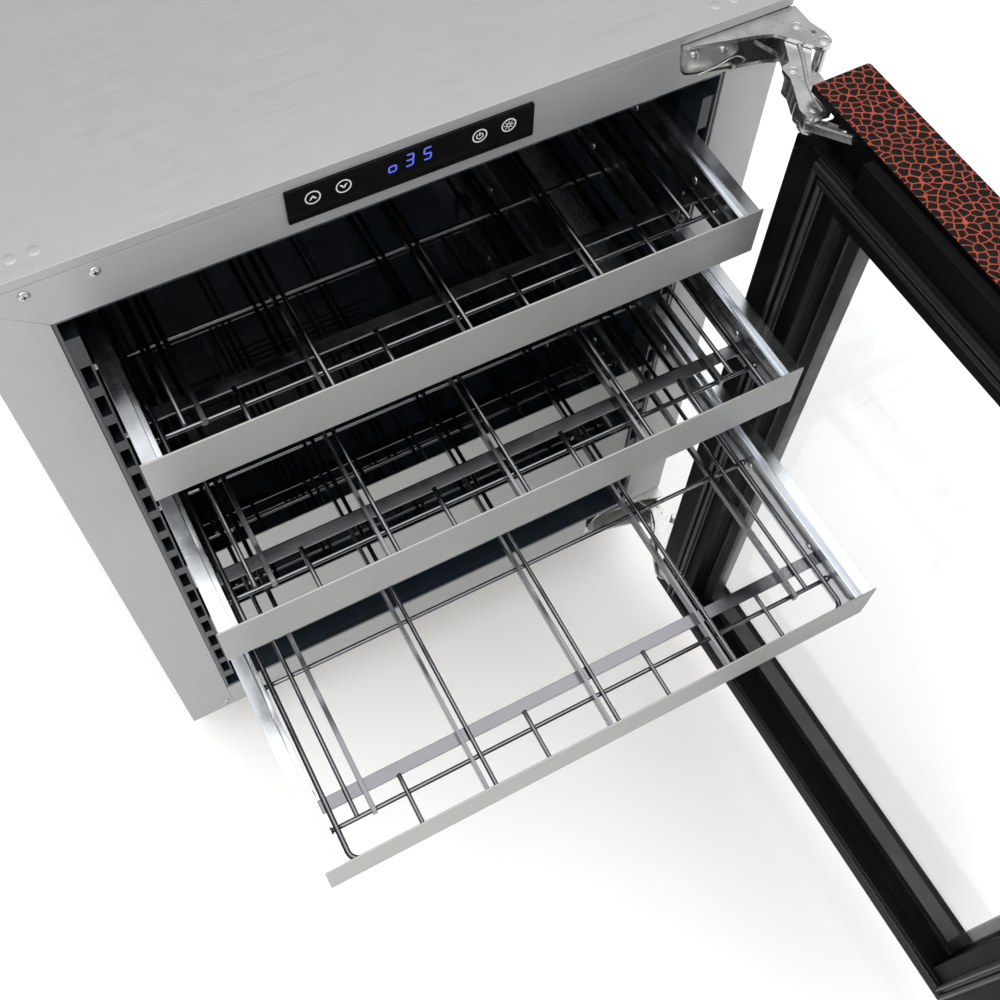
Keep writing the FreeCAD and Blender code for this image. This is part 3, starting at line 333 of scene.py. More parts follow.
LOOKS = {
    "grey_paint": brushed("cabinet_steel", (0.365, 0.365, 0.365), "x", rough=0.42, metal=0.6, depth=0.1,
                          streak=0.03),
    "back_steel": brushed("galvanised_steel", (0.55, 0.56, 0.57), "z", rough=0.42, streak=0.16),
    "foam": foam_look("insulation"),
    "liner_black": plastic("black_moulding", (0.011, 0.016, 0.023), rough=0.2, depth=0.04, coat=0.4,
                           shine=0.5),
    "strip_black": plastic("strip_moulding", (0.008, 0.011, 0.015), rough=0.3, coat=0.2, shine=0.4),
    "slide_steel": brushed("slide_zinc", (0.62, 0.62, 0.63), "y", rough=0.28, streak=0.10),
    "black_glass": plastic("control_glass", (0.003, 0.003, 0.003), rough=0.08, depth=0.01, shine=0.3),
    "board": board_look("circuit_board"),
    "lamp": lamp_look("lamp_cover"),
    "coil_metal": brushed("fin_aluminium", (0.74, 0.74, 0.76), "z", rough=0.34),
    "black_iron": plastic("black_enamel", (0.012, 0.012, 0.013), rough=0.26, grain=500.0, depth=0.2,
                          coat=0.3),
    "copper": polished("copper_pipe", (0.76, 0.38, 0.22), rough=0.26, dirt=0.4),
    "hinge_steel": cast_metal("hinge_casting", (0.54, 0.54, 0.53), rough=0.3),
    "bright_steel": polished("bright_plating", (0.72, 0.72, 0.73)),
    # Painted reflection: the plated rack rods get a dark base colour in place of the dark surroundings they
    # reflect.
    "rack_wire": polished("rack_plating_painted_dark_reflection", (0.15, 0.15, 0.16), rough=0.16),
    "shelf_front": brushed("shelf_steel", (0.36, 0.36, 0.355), "x", rough=0.5, metal=0.6, depth=0.12,
                           streak=0.04),
    "shelf_rail": polished("rail_steel", (0.56, 0.58, 0.61), rough=0.2, grit=0.0),
    "pebble_panel": pebbled("pebbled_panel"),
    "pane": clear_glass("float_glass", (0.98, 0.99, 0.985)),
    "spacer": brushed("spacer_bar", (0.10, 0.10, 0.10), "z", rough=0.5),
    "gasket": plastic("gasket_rubber", (0.0045, 0.0045, 0.0045), rough=0.4, grain=900.0, shine=0.35),
}
FRAME_BLACK = plastic("frame_moulding", (0.0022, 0.0022, 0.0022), rough=0.46, depth=0.2, shine=0.05)
ICON_INK = plastic("icon_print", (0.55, 0.55, 0.56), rough=0.4, mottle=0.05)
DIGIT_LIGHT = glowing("blue_segments", (0.09, 0.14, 0.85), 1.1)
# Painted shade: a near-black look laid on screw recesses and bracket holes, in place of the shade inside
# those hollows.
RECESS_PAINTED_SHADE = plastic("recess_shade", (0.004, 0.004, 0.004), rough=0.6, shine=0.1)


def dress(piece, slot_name, look=None):
    """Give a piece the look of its material slot, or another look."""
    piece.data.materials.clear()
    piece.data.materials.append(look or LOOKS[slot_name])


for node_name, node_object in NODES.items():
    dress(node_object, SLOT_OF[node_name])


# ---------------------------------------------------------------- mesh building

MM = 0.001
CURVE_STEPS = 18
EDGE_ANGLE = 38.0
EASE_ANGLE = 30.0
WELD_GAP = 2e-6
FLAT_ANGLE = 0.5
BLOCK_FACES = ((3, 2, 1, 0), (4, 5, 6, 7), (0, 1, 5, 4), (1, 2, 6, 5), (2, 3, 7, 6), (3, 0, 4, 7))


class Builder:
    """Collects shapes into one mesh. Every length is in millimetres, in the frame's own axes."""

    def __init__(self):
        self.mesh = bmesh.new()

    def flip(self, mirror):
        """Turn the whole shape over about half of a height, for the lower hinge."""
        for vertex in self.mesh.verts:
            vertex.co.z = mirror * MM - vertex.co.z

    def ring(self, centre, one, two, radius, steps):
        """Points of a circle that lies in the plane of two directions."""
        spots = []
        for step in range(steps):
            turn = 2 * math.pi * step / steps
            spots.append(centre + (one * math.cos(turn) + two * math.sin(turn)) * radius)
        return [self.mesh.verts.new(spot * MM) for spot in spots]

    def skin(self, rings, closed=True):
        """Faces between neighbouring rings, and over the first and last when the shape is closed."""
        count = len(rings[0])
        for low, high in zip(rings, rings[1:]):
            for step in range(count):
                other = (step + 1) % count
                self.mesh.faces.new((low[step], low[other], high[other], high[step]))
        if closed:
            self.mesh.faces.new(tuple(reversed(rings[0])))
            self.mesh.faces.new(tuple(rings[-1]))

    @staticmethod
    def sides(along):
        """Two directions square to a direction."""
        helper = Vector((0, 0, 1)) if abs(along.z) < 0.9 else Vector((1, 0, 0))
        one = along.cross(helper).normalized()
        return one, along.cross(one).normalized()

    def lathe(self, start, along, profile, steps=24):
        """A shape turned about an axis, from (distance along it, radius) pairs."""
        start, along = Vector(start), Vector(along).normalized()
        one, two = self.sides(along)
        self.skin([self.ring(start + along * far, one, two, max(radius, 0.01), steps)
                   for far, radius in profile])

    def rod(self, start, end, radius, steps=14):
        """Round bar with softly rounded ends."""
        start, end = Vector(start), Vector(end)
        length = (end - start).length
        soft = radius * 0.3
        profile = ((0, radius - soft), (soft * 0.3, radius - soft * 0.3), (soft, radius),
                   (length - soft, radius), (length - soft * 0.3, radius - soft * 0.3),
                   (length, radius - soft))
        self.lathe(start, end - start, profile, steps)

    def tube(self, path, radius, steps=14):
        """Round bar along a smooth line of points."""
        path = [Vector(spot) for spot in path]
        along = (path[1] - path[0]).normalized()
        one, two = self.sides(along)
        rings = []
        for index, spot in enumerate(path):
            before = path[max(index - 1, 0)]
            after = path[min(index + 1, len(path) - 1)]
            ahead = (after - before).normalized()
            turn = along.rotation_difference(ahead)
            one, two, along = turn @ one, turn @ two, ahead
            rings.append(self.ring(spot, one, two, radius, steps))
        self.skin(rings)

    def block(self, low, high):
        """Square-edged block; the bevel on the piece softens it."""
        (x1, y1, z1), (x2, y2, z2) = low, high
        corners = [self.mesh.verts.new(Vector((x, y, z)) * MM)
                   for z in (z1, z2) for x, y in ((x1, y1), (x2, y1), (x2, y2), (x1, y2))]
        for face in BLOCK_FACES:
            self.mesh.faces.new([corners[index] for index in face])

    def outline_verts(self, outline, far, axis):
        """Points of an outline, put at one place along the third axis."""
        verts = []
        for pair in outline:
            values = list(pair)
            values.insert("xyz".index(axis), far)
            verts.append(self.mesh.verts.new(Vector(values) * MM))
        return verts

    def prism(self, outline, low, high, axis="z"):
        """An outline in two axes, in their order, carried from low to high along the third."""
        self.skin([self.outline_verts(outline, far, axis) for far in (low, high)])

    def plate(self, outlines, low, high, axis="z"):
        """Flat plate with holes: the first outline is its edge and the others are the holes."""
        rims = ([], [])
        for outline in outlines:
            loops = [self.outline_verts(outline, far, axis) for far in (low, high)]
            self.skin(loops, closed=False)
            for loop, rim in zip(loops, rims):
                rim += [self.mesh.edges.get((one, two)) for one, two in zip(loop, loop[1:] + loop[:1])]
        for rim in rims:
            bmesh.ops.triangle_fill(self.mesh, edges=rim, use_beauty=True)

    def piece(self, name, body, slot_name, **style):
        """Turn the collected shapes into one piece; place_piece says what style may hold."""
        bmesh.ops.recalc_face_normals(self.mesh, faces=self.mesh.faces)
        data = bpy.data.meshes.new(name)
        self.mesh.to_mesh(data)
        self.mesh.free()
        place_piece(name, data, body, slot_name, **style)


def place_piece(name, data, body, slot_name, look=None, bevel=0.0, segments=2, angle=EDGE_ANGLE,
                replaced=(), smooth=True):
    """A mesh as a visual piece, with its look (its slot's look unless another is given), softened edges, the
    CAD nodes it stands for hidden, and its body.
    """
    made = bpy.data.objects.new(name, data)
    bpy.context.scene.collection.objects.link(made)
    dress(made, slot_name, look)
    if smooth:
        data.polygons.foreach_set("use_smooth", [True] * len(data.polygons))
        data.set_sharp_from_angle(angle=math.radians(angle))
    if bevel:
        soften = made.modifiers.new("soften", "BEVEL")
        soften.width = bevel * MM
        soften.segments = segments
        soften.limit_method = "ANGLE"
        soften.angle_limit = math.radians(angle)
        soften.harden_normals = smooth
    if replaced:
        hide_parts(*replaced)
    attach(made, body)
    return made


def soften_node(node, bevel, look=None, segments=2):
    """The CAD piece again with its edges eased, as a folded or moulded part has them."""
    shape = bmesh.new()
    shape.from_mesh(NODES[node].data)
    bmesh.ops.remove_doubles(shape, verts=shape.verts, dist=WELD_GAP)
    bmesh.ops.dissolve_limit(shape, angle_limit=math.radians(FLAT_ANGLE), verts=shape.verts,
                             edges=shape.edges)
    data = bpy.data.meshes.new(node + "_eased")
    shape.to_mesh(data)
    shape.free()
    return place_piece(node + "_eased", data, BODY_OF[node], SLOT_OF[node], look=look, bevel=bevel,
                       segments=segments, angle=EASE_ANGLE, replaced=(node,))


def round_off(corners, steps=7):
    """Outline through (x, y, radius) corners, each one turned on an arc."""
    outline = []
    for index, (x, y, radius) in enumerate(corners):
        spot = Vector((x, y))
        if radius == 0:
            outline.append((x, y))
            continue
        before = Vector(corners[index - 1][:2]) - spot
        after = Vector(corners[(index + 1) % len(corners)][:2]) - spot
        half = before.angle(after) / 2
        reach = min(radius / math.tan(half), before.length * 0.49, after.length * 0.49)
        before.normalize()
        after.normalize()
        middle = spot + (before + after).normalized() * (reach / math.cos(half))
        start, end = spot + before * reach - middle, spot + after * reach - middle
        first = math.atan2(start.y, start.x)
        sweep = (math.atan2(end.y, end.x) - first + math.pi) % (2 * math.pi) - math.pi
        for step in range(steps + 1):
            turn = first + sweep * step / steps
            outline.append((middle.x + start.length * math.cos(turn),
                            middle.y + start.length * math.sin(turn)))
    return outline


def disc(x, y, radius, steps=28):
    """Outline of a circle."""
    return [(x + radius * math.cos(2 * math.pi * step / steps),
             y + radius * math.sin(2 * math.pi * step / steps))
            for step in range(steps)]


def stadium(one, two, radius, steps=10):
    """Outline of a bar with round ends between two points."""
    one, two = Vector(one), Vector(two)
    turn = math.atan2(two.y - one.y, two.x - one.x)
    outline = []
    for centre, start in ((two, turn - math.pi / 2), (one, turn + math.pi / 2)):
        for step in range(steps + 1):
            here = start + math.pi * step / steps
            outline.append((centre.x + radius * math.cos(here), centre.y + radius * math.sin(here)))
    return outline


def box_mm(node):
    """Low and high corners of a CAD node's box, in millimetres."""
    low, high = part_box(node)
    return low / MM, high / MM


def arc(centre, radius, start, end, steps=CURVE_STEPS):
    """Points on an arc in the XY plane, angles in degrees."""
    spots = []
    for step in range(steps + 1):
        turn = math.radians(start + (end - start) * step / steps)
        spots.append((centre[0] + radius * math.cos(turn), centre[1] + radius * math.sin(turn), centre[2]))
    return spots


# ---------------------------------------------------------------- shelves

# Places across the rack are from its middle, and CROSS_RODS and RIVET_PLACES are from the shelf's face.
RACK_HALF = 220.0
RACK_DEPTH = 350.0
RACK_CORNER = 9.0
FRAME_ROD = 2.2
WIRE_ROD = 1.9
CROSS_RODS = (34, 160, 270)
DIVIDERS = (-108, 0, 108)
CRADLES = (-162, -54, 54, 162)
SIDE_BAR = 190
SIDE_ROD = 203
RIVET_PLACES = (62, 150, 292)
RIVET_HEAD = ((0, 3.4), (0.25, 3.4), (0.55, 2.9), (0.8, 1.6), (0.85, 0.02))


def make_rack(node, feet=()):
    """Welded wire rack: bent frame rod, cross rods, flat divider bars and rods along the bottles."""
    low, high = box_mm(node)
    reach = high.x - 0.2
    front = low.y + FRAME_ROD
    back = front + RACK_DEPTH
    level = high.z - 6.0
    face = front - 5.0
    shape = Builder()
    line = [(-RACK_HALF, back, level)]
    line += arc((-RACK_HALF + RACK_CORNER, front + RACK_CORNER, level), RACK_CORNER, 180, 270)
    line += arc((RACK_HALF - RACK_CORNER, front + RACK_CORNER, level), RACK_CORNER, 270, 360)
    line += [(RACK_HALF, back, level)]
    shape.tube(line, FRAME_ROD, 18)
    under = level - 3.3
    for y in [face + along for along in CROSS_RODS] + [back - 3]:
        shape.rod((-reach, y, under), (reach, y, under), WIRE_ROD)
        for side in (-1, 1):
            shape.lathe((side * reach, y, under), (-side, 0, 0), ((0, 3.0), (0.8, 2.8), (1.8, 2.1)), 16)
    shape.block((-reach, face + 48, level - 3), (reach, face + 59, level - 1.4))
    for centre in DIVIDERS:
        shape.block((centre - 1.5, front, level - 3), (centre + 1.5, back, level + 6))
        shape.rod((centre + 8, front, level), (centre + 8, back, level), WIRE_ROD)
    for centre in CRADLES:
        shape.rod((centre, front, level), (centre, front + 44, level), WIRE_ROD)
    for side in (-1, 1):
        shape.block((side * SIDE_BAR - 2, face + 30, level - 3),
                    (side * SIDE_BAR + 2, face + 360, level + 4))
        shape.rod((side * SIDE_ROD, face + 34, level), (side * SIDE_ROD, face + 358, level), WIRE_ROD)
    for along in feet:
        shape.block((-reach, face + along, low.z), (reach, face + along + 4, level - 1))
    shape.piece(node + "_wires", BODY_OF[node], "rack_wire", bevel=0.4, replaced=(node,))


def make_rivets(shelf):
    """Flat rivet heads inside the side rails of a pull-out shelf."""
    low, high = box_mm("shelf_%d_side_rails" % shelf)
    shape = Builder()
    for side in (-1, 1):
        for along in RIVET_PLACES:
            shape.lathe((side * 225.0, low.y + along, high.z - 20), (-side, 0, 0), RIVET_HEAD, 18)
    shape.piece("shelf_%d_rivets" % shelf, "shelf_%d" % shelf, "slide_steel", angle=60)


for shelf in range(1, 6):
    make_rack("shelf_%d_rack" % shelf)
    soften_node("shelf_%d_front" % shelf, 0.55, segments=3)
    soften_node("shelf_%d_side_rails" % shelf, 0.3)
    soften_node("shelf_%d_middle_slides" % shelf, 0.25)
    make_rivets(shelf)
make_rack("bottom_rack", (100, 300))
soften_node("fixed_slides", 0.25)
for sheet in ("left_side_panel", "right_side_panel", "bottom_rail", "top_rail", "top_panel"):
    soften_node(sheet, 0.4)
for moulding in ("wall_strips", "kick_grille", "levelling_legs", "door_handle", "light_bar"):
    soften_node(moulding, 0.5)
soften_node("door_inner_frame", 1.2, look=FRAME_BLACK, segments=3)


# ---------------------------------------------------------------- door

def dress_faces(piece, look, keeps):
    """A second material on the faces that keeps(middle, normal) turns down."""
    piece.data.materials.append(look)
    for face in piece.data.polygons:
        if not keeps(face.center / MM, face.normal):
            face.material_index = 1


# How far the eased edges, the free end and the leaning outer face reach in from the open panel's box.
EASED_EDGE = 1.0
FREE_END = 3.5
FRONT_LEAN = 9.0
LEANS_OUT = 0.3


def make_panel():
    """Door overlay: pebbled on its face and outer edges, plain black on its inside and in its openings."""
    low, high = box_mm("door_panel")

    def outside(middle, normal):
        lid = middle.z > high.z - EASED_EDGE or middle.z < low.z + EASED_EDGE
        front = normal.x > LEANS_OUT and middle.x > high.x - FRONT_LEAN
        return (lid and abs(normal.z) > LEANS_OUT) or middle.y < low.y + FREE_END or front

    dress_faces(soften_node("door_panel", 0.8, segments=3), FRAME_BLACK, outside)


DOOR_CORNER = (252.0, -79.2)
DOOR_TURN = math.radians(-89.3)
# (inset from the corner, depth into the door) pairs, and (along, height, inward, upward) for each corner.
GASKET_PROFILE = ((0.0, -0.2), (0.0, -1.8), (1.4, -2.6), (0.8, -4.6), (1.6, -6.8), (3.2, -7.9), (4.9, -7.4),
                  (6.0, -5.6), (5.6, -3.4), (6.4, -2.2), (8.4, -2.2), (9.2, -3.6), (9.0, -5.8), (10.2, -7.5),
                  (11.8, -7.8), (13.3, -6.4), (13.7, -4.2), (13.0, -2.4), (14.0, -1.6), (14.0, -0.2))
GASKET_CORNERS = ((36.0, 139.0, 1, 1), (550.0, 139.0, -1, 1), (550.0, 840.0, -1, -1), (36.0, 840.0, 1, -1))


def door_spot(along, deep, z):
    """A place in the frame from one in the open door's own axes: along its width, and deep into it."""
    return Vector((DOOR_CORNER[0] + along * math.cos(DOOR_TURN) - deep * math.sin(DOOR_TURN),
                   DOOR_CORNER[1] + along * math.sin(DOOR_TURN) + deep * math.cos(DOOR_TURN), z))


def make_gasket():
    """Magnetic door seal: two soft lips on a base, welded at mitred corners."""
    shape = Builder()
    rings = []
    for along, z, inward, upward in GASKET_CORNERS:
        spots = [door_spot(along + inward * inset, deep, z + upward * inset)
                 for inset, deep in GASKET_PROFILE]
        rings.append([shape.mesh.verts.new(spot * MM) for spot in spots])
    shape.skin(rings + rings[:1], closed=False)
    shape.piece("door_seal", "door", "gasket", angle=50, replaced=("door_gasket",))


make_panel()
make_gasket()


# ---------------------------------------------------------------- articulated hinges

HINGE_LOW = 824.0
HINGE_MIRROR = 988.0
HOUSING_PIN = (293.4, -18.9)
NOSE_PIN = (302.5, -40.0)
CROSS_PIN = (268.4, -51.9)
DOOR_PIN = (259.5, -89.0)
HINGE_ANGLE = 35.0

# Heights over the hinge's underside.
TRAY_TOP = 34.5
PLATE_TOP = 37.5
ARM_UNDER = 31
ARM_TOP = 34
LEVER_UNDER = 12.9
LEVER_TOP = 16.9

# Outlines are corners of (x, y, radius), and turned profiles are (distance along the axis, radius) pairs.
PLATE_EDGE = ((209.8, 36.8, 1), (209.8, -0.2, 3), (213, -3, 6), (262, -14.4, 60), (275.5, -19, 12),
              (281.5, -27, 20), (296.5, -46.2, 6), (308.2, -44.5, 6), (308, -33, 8), (304.4, -20, 14),
              (304.4, -0.5, 0.4), (301.3, -0.5, 0.4), (301.3, 36.8, 1))
FOOT_EDGE = ((209.8, 36.8, 1), (209.8, 1.7, 1), (258.2, 1.7, 0.4), (258.2, -3, 3), (269, -5, 40),
             (280.4, -7.1, 30), (290.4, -11.4, 30), (301.2, -14, 3), (301.2, 36.8, 1))
BACK_EDGE = ((209.8, 36.9, 1), (209.8, 24, 0.4), (211.6, 24, 0.4), (211.6, 34.9, 1.5), (301.2, 34.9, 0.5),
             (301.2, 36.9, 0.5))
PLATE_HOLE = (300.0, -29.5, 2.1)
BUTTONS = ((230.6, 9.9, 839.0), (256.6, 9.3, 834.6))
BUTTON_HEAD = ((-0.6, 4.0), (0.5, 4.0), (1.5, 3.2), (2.2, 1.8), (2.4, 0.02))
SPRING = ((228, -0.6, 828.4), (237, -0.8, 829.6), (246, -1, 830.6), (253.3, -1, 833.2), (259.4, -1, 834.2),
          (264.4, -1, 831.8), (269.6, -1.2, 827.2))
ARM_EDGE = ((250.4, -86, 7), (252, -96.9, 8), (268.4, -98.4, 2), (268.0, -84, 12), (271.8, -69, 14),
            (281.7, -54.5, 14), (297, -33, 10), (302.2, -18, 8.5), (294, -10.2, 8), (284.2, -13, 8),
            (276.4, -32, 16), (270.4, -44.4, 5), (262.3, -45.2, 5.6), (262.2, -57.6, 6), (259, -66, 14))
ARM_LEFT = ((283.8, -16), (277.6, -31.8), (271.8, -43.4), (265.2, -50.5), (262.2, -60), (259.2, -67.5),
            (256.4, -74.5))
ARM_RIGHT = ((298.6, -31), (283.2, -52.6), (273.2, -67.6), (270.2, -77.5))
ARM_RIB = ((264.2, -94), (266.2, -79.7), (270, -66.9), (276.6, -54.4), (282.6, -42.5), (287.2, -30.4),
           (289.6, -22))
LEVER_EDGE = ((275.5, 2, 6), (281, 8.4, 6), (288.6, 3, 6), (290.8, -24, 14), (293.2, -42, 8),
              (298.4, -49, 4), (297.6, -56.8, 3), (285.2, -58, 16), (274.2, -66, 14), (266.8, -82.6, 5),
              (257.6, -84.2, 5), (256.8, -76, 6), (267.0, -60, 6), (264.8, -55.4, 3), (265.2, -48.6, 3),
              (270.8, -46.2, 5), (277.8, -36, 14), (284, -18, 14))
LEVER_END = (259.9, -79.2)
BARREL = ((0, 7.0), (0.3, 7.9), (1.7, 7.9), (2.0, 6.2), (9.4, 6.2), (9.7, 7.2), (11.0, 7.2), (11.3, 6.2),
          (13.4, 6.2))
LEG_SECTION = ((-4.4, -3.6, 0.8), (4.4, -3.6, 0.8), (4.4, 3.0, 1.6), (-4.4, 3.0, 1.6))
LEG_SCREW = ((0, 3.3), (0.8, 3.3), (1.2, 2.4), (3.4, 2.7), (4.6, 2.2), (5.0, 0.8))


def upright(shape, place, level, profile, steps=24):
    """A shape turned about an upright pin, from a height over the hinge's underside."""
    shape.lathe((*place, HINGE_LOW + level), (0, 0, 1), profile, steps)


def rivet(shape, place, level, radius=2.7, height=0.45):
    """Peened pin end: a low washer ring, a groove, and a flat-domed head in it."""
    washer = ((-0.5, radius + 1.2), (0.1, radius + 1.2), (0.3, radius + 0.95), (0.3, radius + 0.6),
              (0.02, radius + 0.3))
    head = ((0.02, radius), (height * 0.7, radius - 0.1), (height, radius * 0.7),
            (height + 0.04, radius * 0.3), (height + 0.05, 0.02))
    upright(shape, place, level, washer + head, 30)


def hinge_piece(shape, name, tag, body, node, bevel):
    """Finish a part of the upper hinge, or turn it over first for the lower one."""
    if tag == "low":
        shape.flip(HINGE_MIRROR)
    shape.piece("%s_%s" % (name, tag), body, "hinge_steel", bevel=bevel, segments=3, angle=HINGE_ANGLE,
                replaced=(node,))


# The scoop's lower lip as (x, height over the floor) points.
LIP = ((209.9, 850.0), (211.3, 842.0), (213.6, 837.4), (216.8, 833.6), (220.6, 831.3), (236.5, 827.7),
       (257.5, 823.6), (270.0, 823.2))
SCOOP_START = 209.9
SCOOP_LENGTH = 61.6
SCOOP_DEPTH = 17.0
SCOOP_STEPS = 28
SCOOP_ROWS = 12


def lip_height(x):
    """Height of the scoop's lower lip over the floor: it follows the opening in the rail."""
    for (x1, z1), (x2, z2) in zip(LIP, LIP[1:]):
        if x <= x2:
            return z1 + (z2 - z1) * (x - x1) / (x2 - x1)
    return LIP[-1][1]


def make_scoop(shape):
    """Pressed scoop behind the rail's opening, from its lower lip up to the underside of the plate."""
    roof = HINGE_LOW + 34.4
    rings = []
    for step in range(SCOOP_STEPS + 1):
        x = SCOOP_START + SCOOP_LENGTH * (step / SCOOP_STEPS) ** 1.5
        low = lip_height(x)
        near = SCOOP_DEPTH * min((x - 208.9) / 15.0, 1.0) ** 0.6
        reach = near + 16.0 * max((x - 256.0) / 15.5, 0.0) ** 2
        rises = [up / SCOOP_ROWS for up in range(SCOOP_ROWS + 1)]
        face = [(1.5 + reach * rise ** 0.8, low + (roof - low) * rise ** 1.3) for rise in rises]
        back = [(y + 1.0, z - 0.9) for y, z in reversed(face)]
        rings.append([shape.mesh.verts.new(Vector((x, y, z)) * MM) for y, z in face + back])
    shape.skin(rings)


def make_housing(tag):
    """Pressed tray in the cabinet's corner, with a nose over the crossed levers."""
    low = HINGE_LOW
    shape = Builder()
    shape.plate([round_off(PLATE_EDGE), disc(*PLATE_HOLE)], low + TRAY_TOP, low + PLATE_TOP)
    shape.prism(round_off(FOOT_EDGE), low, low + 3)
    shape.prism(round_off(BACK_EDGE), low + 3, low + TRAY_TOP)
    shape.block((300.1, -6, low + 2.9), (301.1, 35.5, low + 34.6))
    make_scoop(shape)
    upright(shape, NOSE_PIN, 10, ((0, 3.4), (0.8, 4.2), (21.5, 4.2), (22.3, 5.2), (24.5, 5.2)), 28)
    upright(shape, HOUSING_PIN, 17.2, ((0, 2.5), (0.5, 3.0), (17.3, 3.0)))
    rivet(shape, HOUSING_PIN, PLATE_TOP)
    rivet(shape, NOSE_PIN, PLATE_TOP, 3.6)
    slope = Vector((0, -0.878, 0.476))
    for place in BUTTONS:
        shape.lathe(place, slope, BUTTON_HEAD, 28)
    shape.tube(SPRING, 0.7, 10)
    hinge_piece(shape, "hinge_tray", tag, "cabinet", "hinge_housings", 0.5)


def make_arm(tag):
    """Upper lever: a pressed channel with a raised rib, carrying the crossing pin on its left side."""
    low = HINGE_LOW
    shape = Builder()
    window = stadium((270.6, -66.6), (266.6, -79.5), 1.3)
    shape.plate([round_off(ARM_EDGE), window], low + ARM_UNDER, low + ARM_TOP)
    for outline, foot in ((ARM_LEFT, 17.8), (ARM_RIGHT, 21.0)):
        for one, two in zip(outline, outline[1:]):
            shape.prism(stadium(one, two, 0.75, 4), low + foot, low + 31.4)
    shape.tube([(x, y, low + 33.7) for x, y in ARM_RIB], 1.7, 16)
    upright(shape, CROSS_PIN, 13.0, ((0, 2.6), (0.4, 3.0), (18.6, 3.0)))
    upright(shape, CROSS_PIN, 17.3, ((0, 3.6), (13.8, 3.6)))
    upright(shape, HOUSING_PIN, 17.5, ((0, 6.3), (13.8, 6.3)), 28)
    rivet(shape, CROSS_PIN, 34.0, 2.3, 0.4)
    hinge_piece(shape, "hinge_arm", tag, "upper_levers", "hinge_upper_levers", 0.45)


def make_lower_lever(tag):
    """Lower lever: a flat bar under the arm, from inside the tray to the door's end."""
    shape = Builder()
    shape.prism(round_off(LEVER_EDGE), HINGE_LOW + LEVER_UNDER, HINGE_LOW + LEVER_TOP)
    upright(shape, CROSS_PIN, 16.7, ((0, 3.4), (0.4, 3.4), (0.5, 2.8)), 28)
    upright(shape, LEVER_END, 16.7, ((0, 3.4), (0.45, 3.4), (0.6, 2.4)))
    hinge_piece(shape, "hinge_lever", tag, "lower_levers", "hinge_lower_levers", 0.6)


def make_bracket(tag):
    """Door bracket: a flanged barrel for the arm's pin, and a leg screwed down on the frame."""
    low = HINGE_LOW
    shape = Builder()
    upright(shape, DOOR_PIN, 17.3, BARREL, 40)
    upright(shape, DOOR_PIN, 30.4, ((0, 3.0), (3.9, 3.0)))
    rivet(shape, DOOR_PIN, 34.1, 2.4, 0.4)
    inner, outer = Vector((257.6, -91.0, low + 23.8)), Vector((264.6, -128.0, low + 39.5))
    along = (outer - inner).normalized()
    aside = along.cross(Vector((0, 0, 1))).normalized()
    lift = aside.cross(along).normalized()
    section = round_off(LEG_SECTION, 4)
    shape.skin([[shape.mesh.verts.new((spot + aside * across + lift * up) * MM) for across, up in section]
                for spot in (inner, outer)])
    head = outer - along * 9.0 + lift * 3.0
    shape.lathe(head, lift, ((-1, 2.5), (0.2, 2.5), (0.5, 2.1), (0.75, 1.0), (0.8, 0.02)), 24)
    hinge_piece(shape, "hinge_bracket", tag, "door", "door_hinge_brackets", 0.4)
    # Painted shade: the socket in the screw head, a hole beside it and the screw at the leg's end are
    # near-black pieces, in place of the shade in those hollows.
    hollow_shades = Builder()
    hollow_shades.lathe(head + lift * 0.78, lift, ((0, 1.1), (0.06, 1.1)), 6)
    hollow_shades.lathe(head + along * 4.6, lift, ((-0.2, 1.7), (0.08, 1.7)), 20)
    hollow_shades.lathe(outer + along * 0.1, along, LEG_SCREW, 24)
    if tag == "low":
        hollow_shades.flip(HINGE_MIRROR)
    hollow_shades.piece("bracket_recess_" + tag, "door", "hinge_steel", look=RECESS_PAINTED_SHADE)


for tag in ("high", "low"):
    make_housing(tag)
    make_arm(tag)
    make_lower_lever(tag)
    make_bracket(tag)


# ---------------------------------------------------------------- screws and control panel

FRONT_SCREWS = ((-261.9, 853.8), (-217.4, 852.8), (-261.3, 130.2))
SCREW_HEAD = ((0, 4.0), (0.35, 4.0), (0.95, 3.5), (1.4, 2.4), (1.58, 1.0), (1.6, 0.02))
TOP_STUDS = (-260.4, -245.6, 246.4, 261.4)
STUD_HEAD = ((-0.2, 4.3), (0.04, 4.3), (0.2, 3.6), (0.3, 2.2), (0.32, 0.02))


def make_screws():
    """Cross-headed screws on the front face, and painted-over studs on the top panel."""
    heads, slots, studs = Builder(), Builder(), Builder()
    for x, z in FRONT_SCREWS:
        heads.lathe((x, 0, z), (0, -1, 0), SCREW_HEAD, 32)
        # Painted shade: the cross recess of each screw is a pair of near-black blocks over its head, in place
        # of the shade in the hollow.
        for wide, tall in ((1.9, 0.42), (0.42, 1.9)):
            slots.block((x - wide, -1.63, z - tall), (x + wide, -1.2, z + tall))
    for x in TOP_STUDS:
        studs.lathe((x, 16.5, 870), (0, 0, 1), STUD_HEAD, 36)
    heads.piece("screw_heads", "cabinet", "bright_steel", look=LOOKS["hinge_steel"], angle=60,
                replaced=("cabinet_screws",))
    studs.piece("top_studs", "cabinet", "grey_paint", angle=60)
    slots.piece("screw_slots", "cabinet", "bright_steel", look=RECESS_PAINTED_SHADE)


GLASS_FACE = -2.0
ICON_LEVEL = 849.6
UP_KEY = -72.4
DOWN_KEY = -50.5
POWER_KEY = 49.6
LIGHT_KEY = 71.8
KEY_RING = (5.7, 4.7)
ARROW = ((-2.9, -1.7), (-0.4, 1.6), (0.4, 1.6), (2.9, -1.7), (1.5, -1.7), (0.0, 0.0), (-1.5, -1.7))
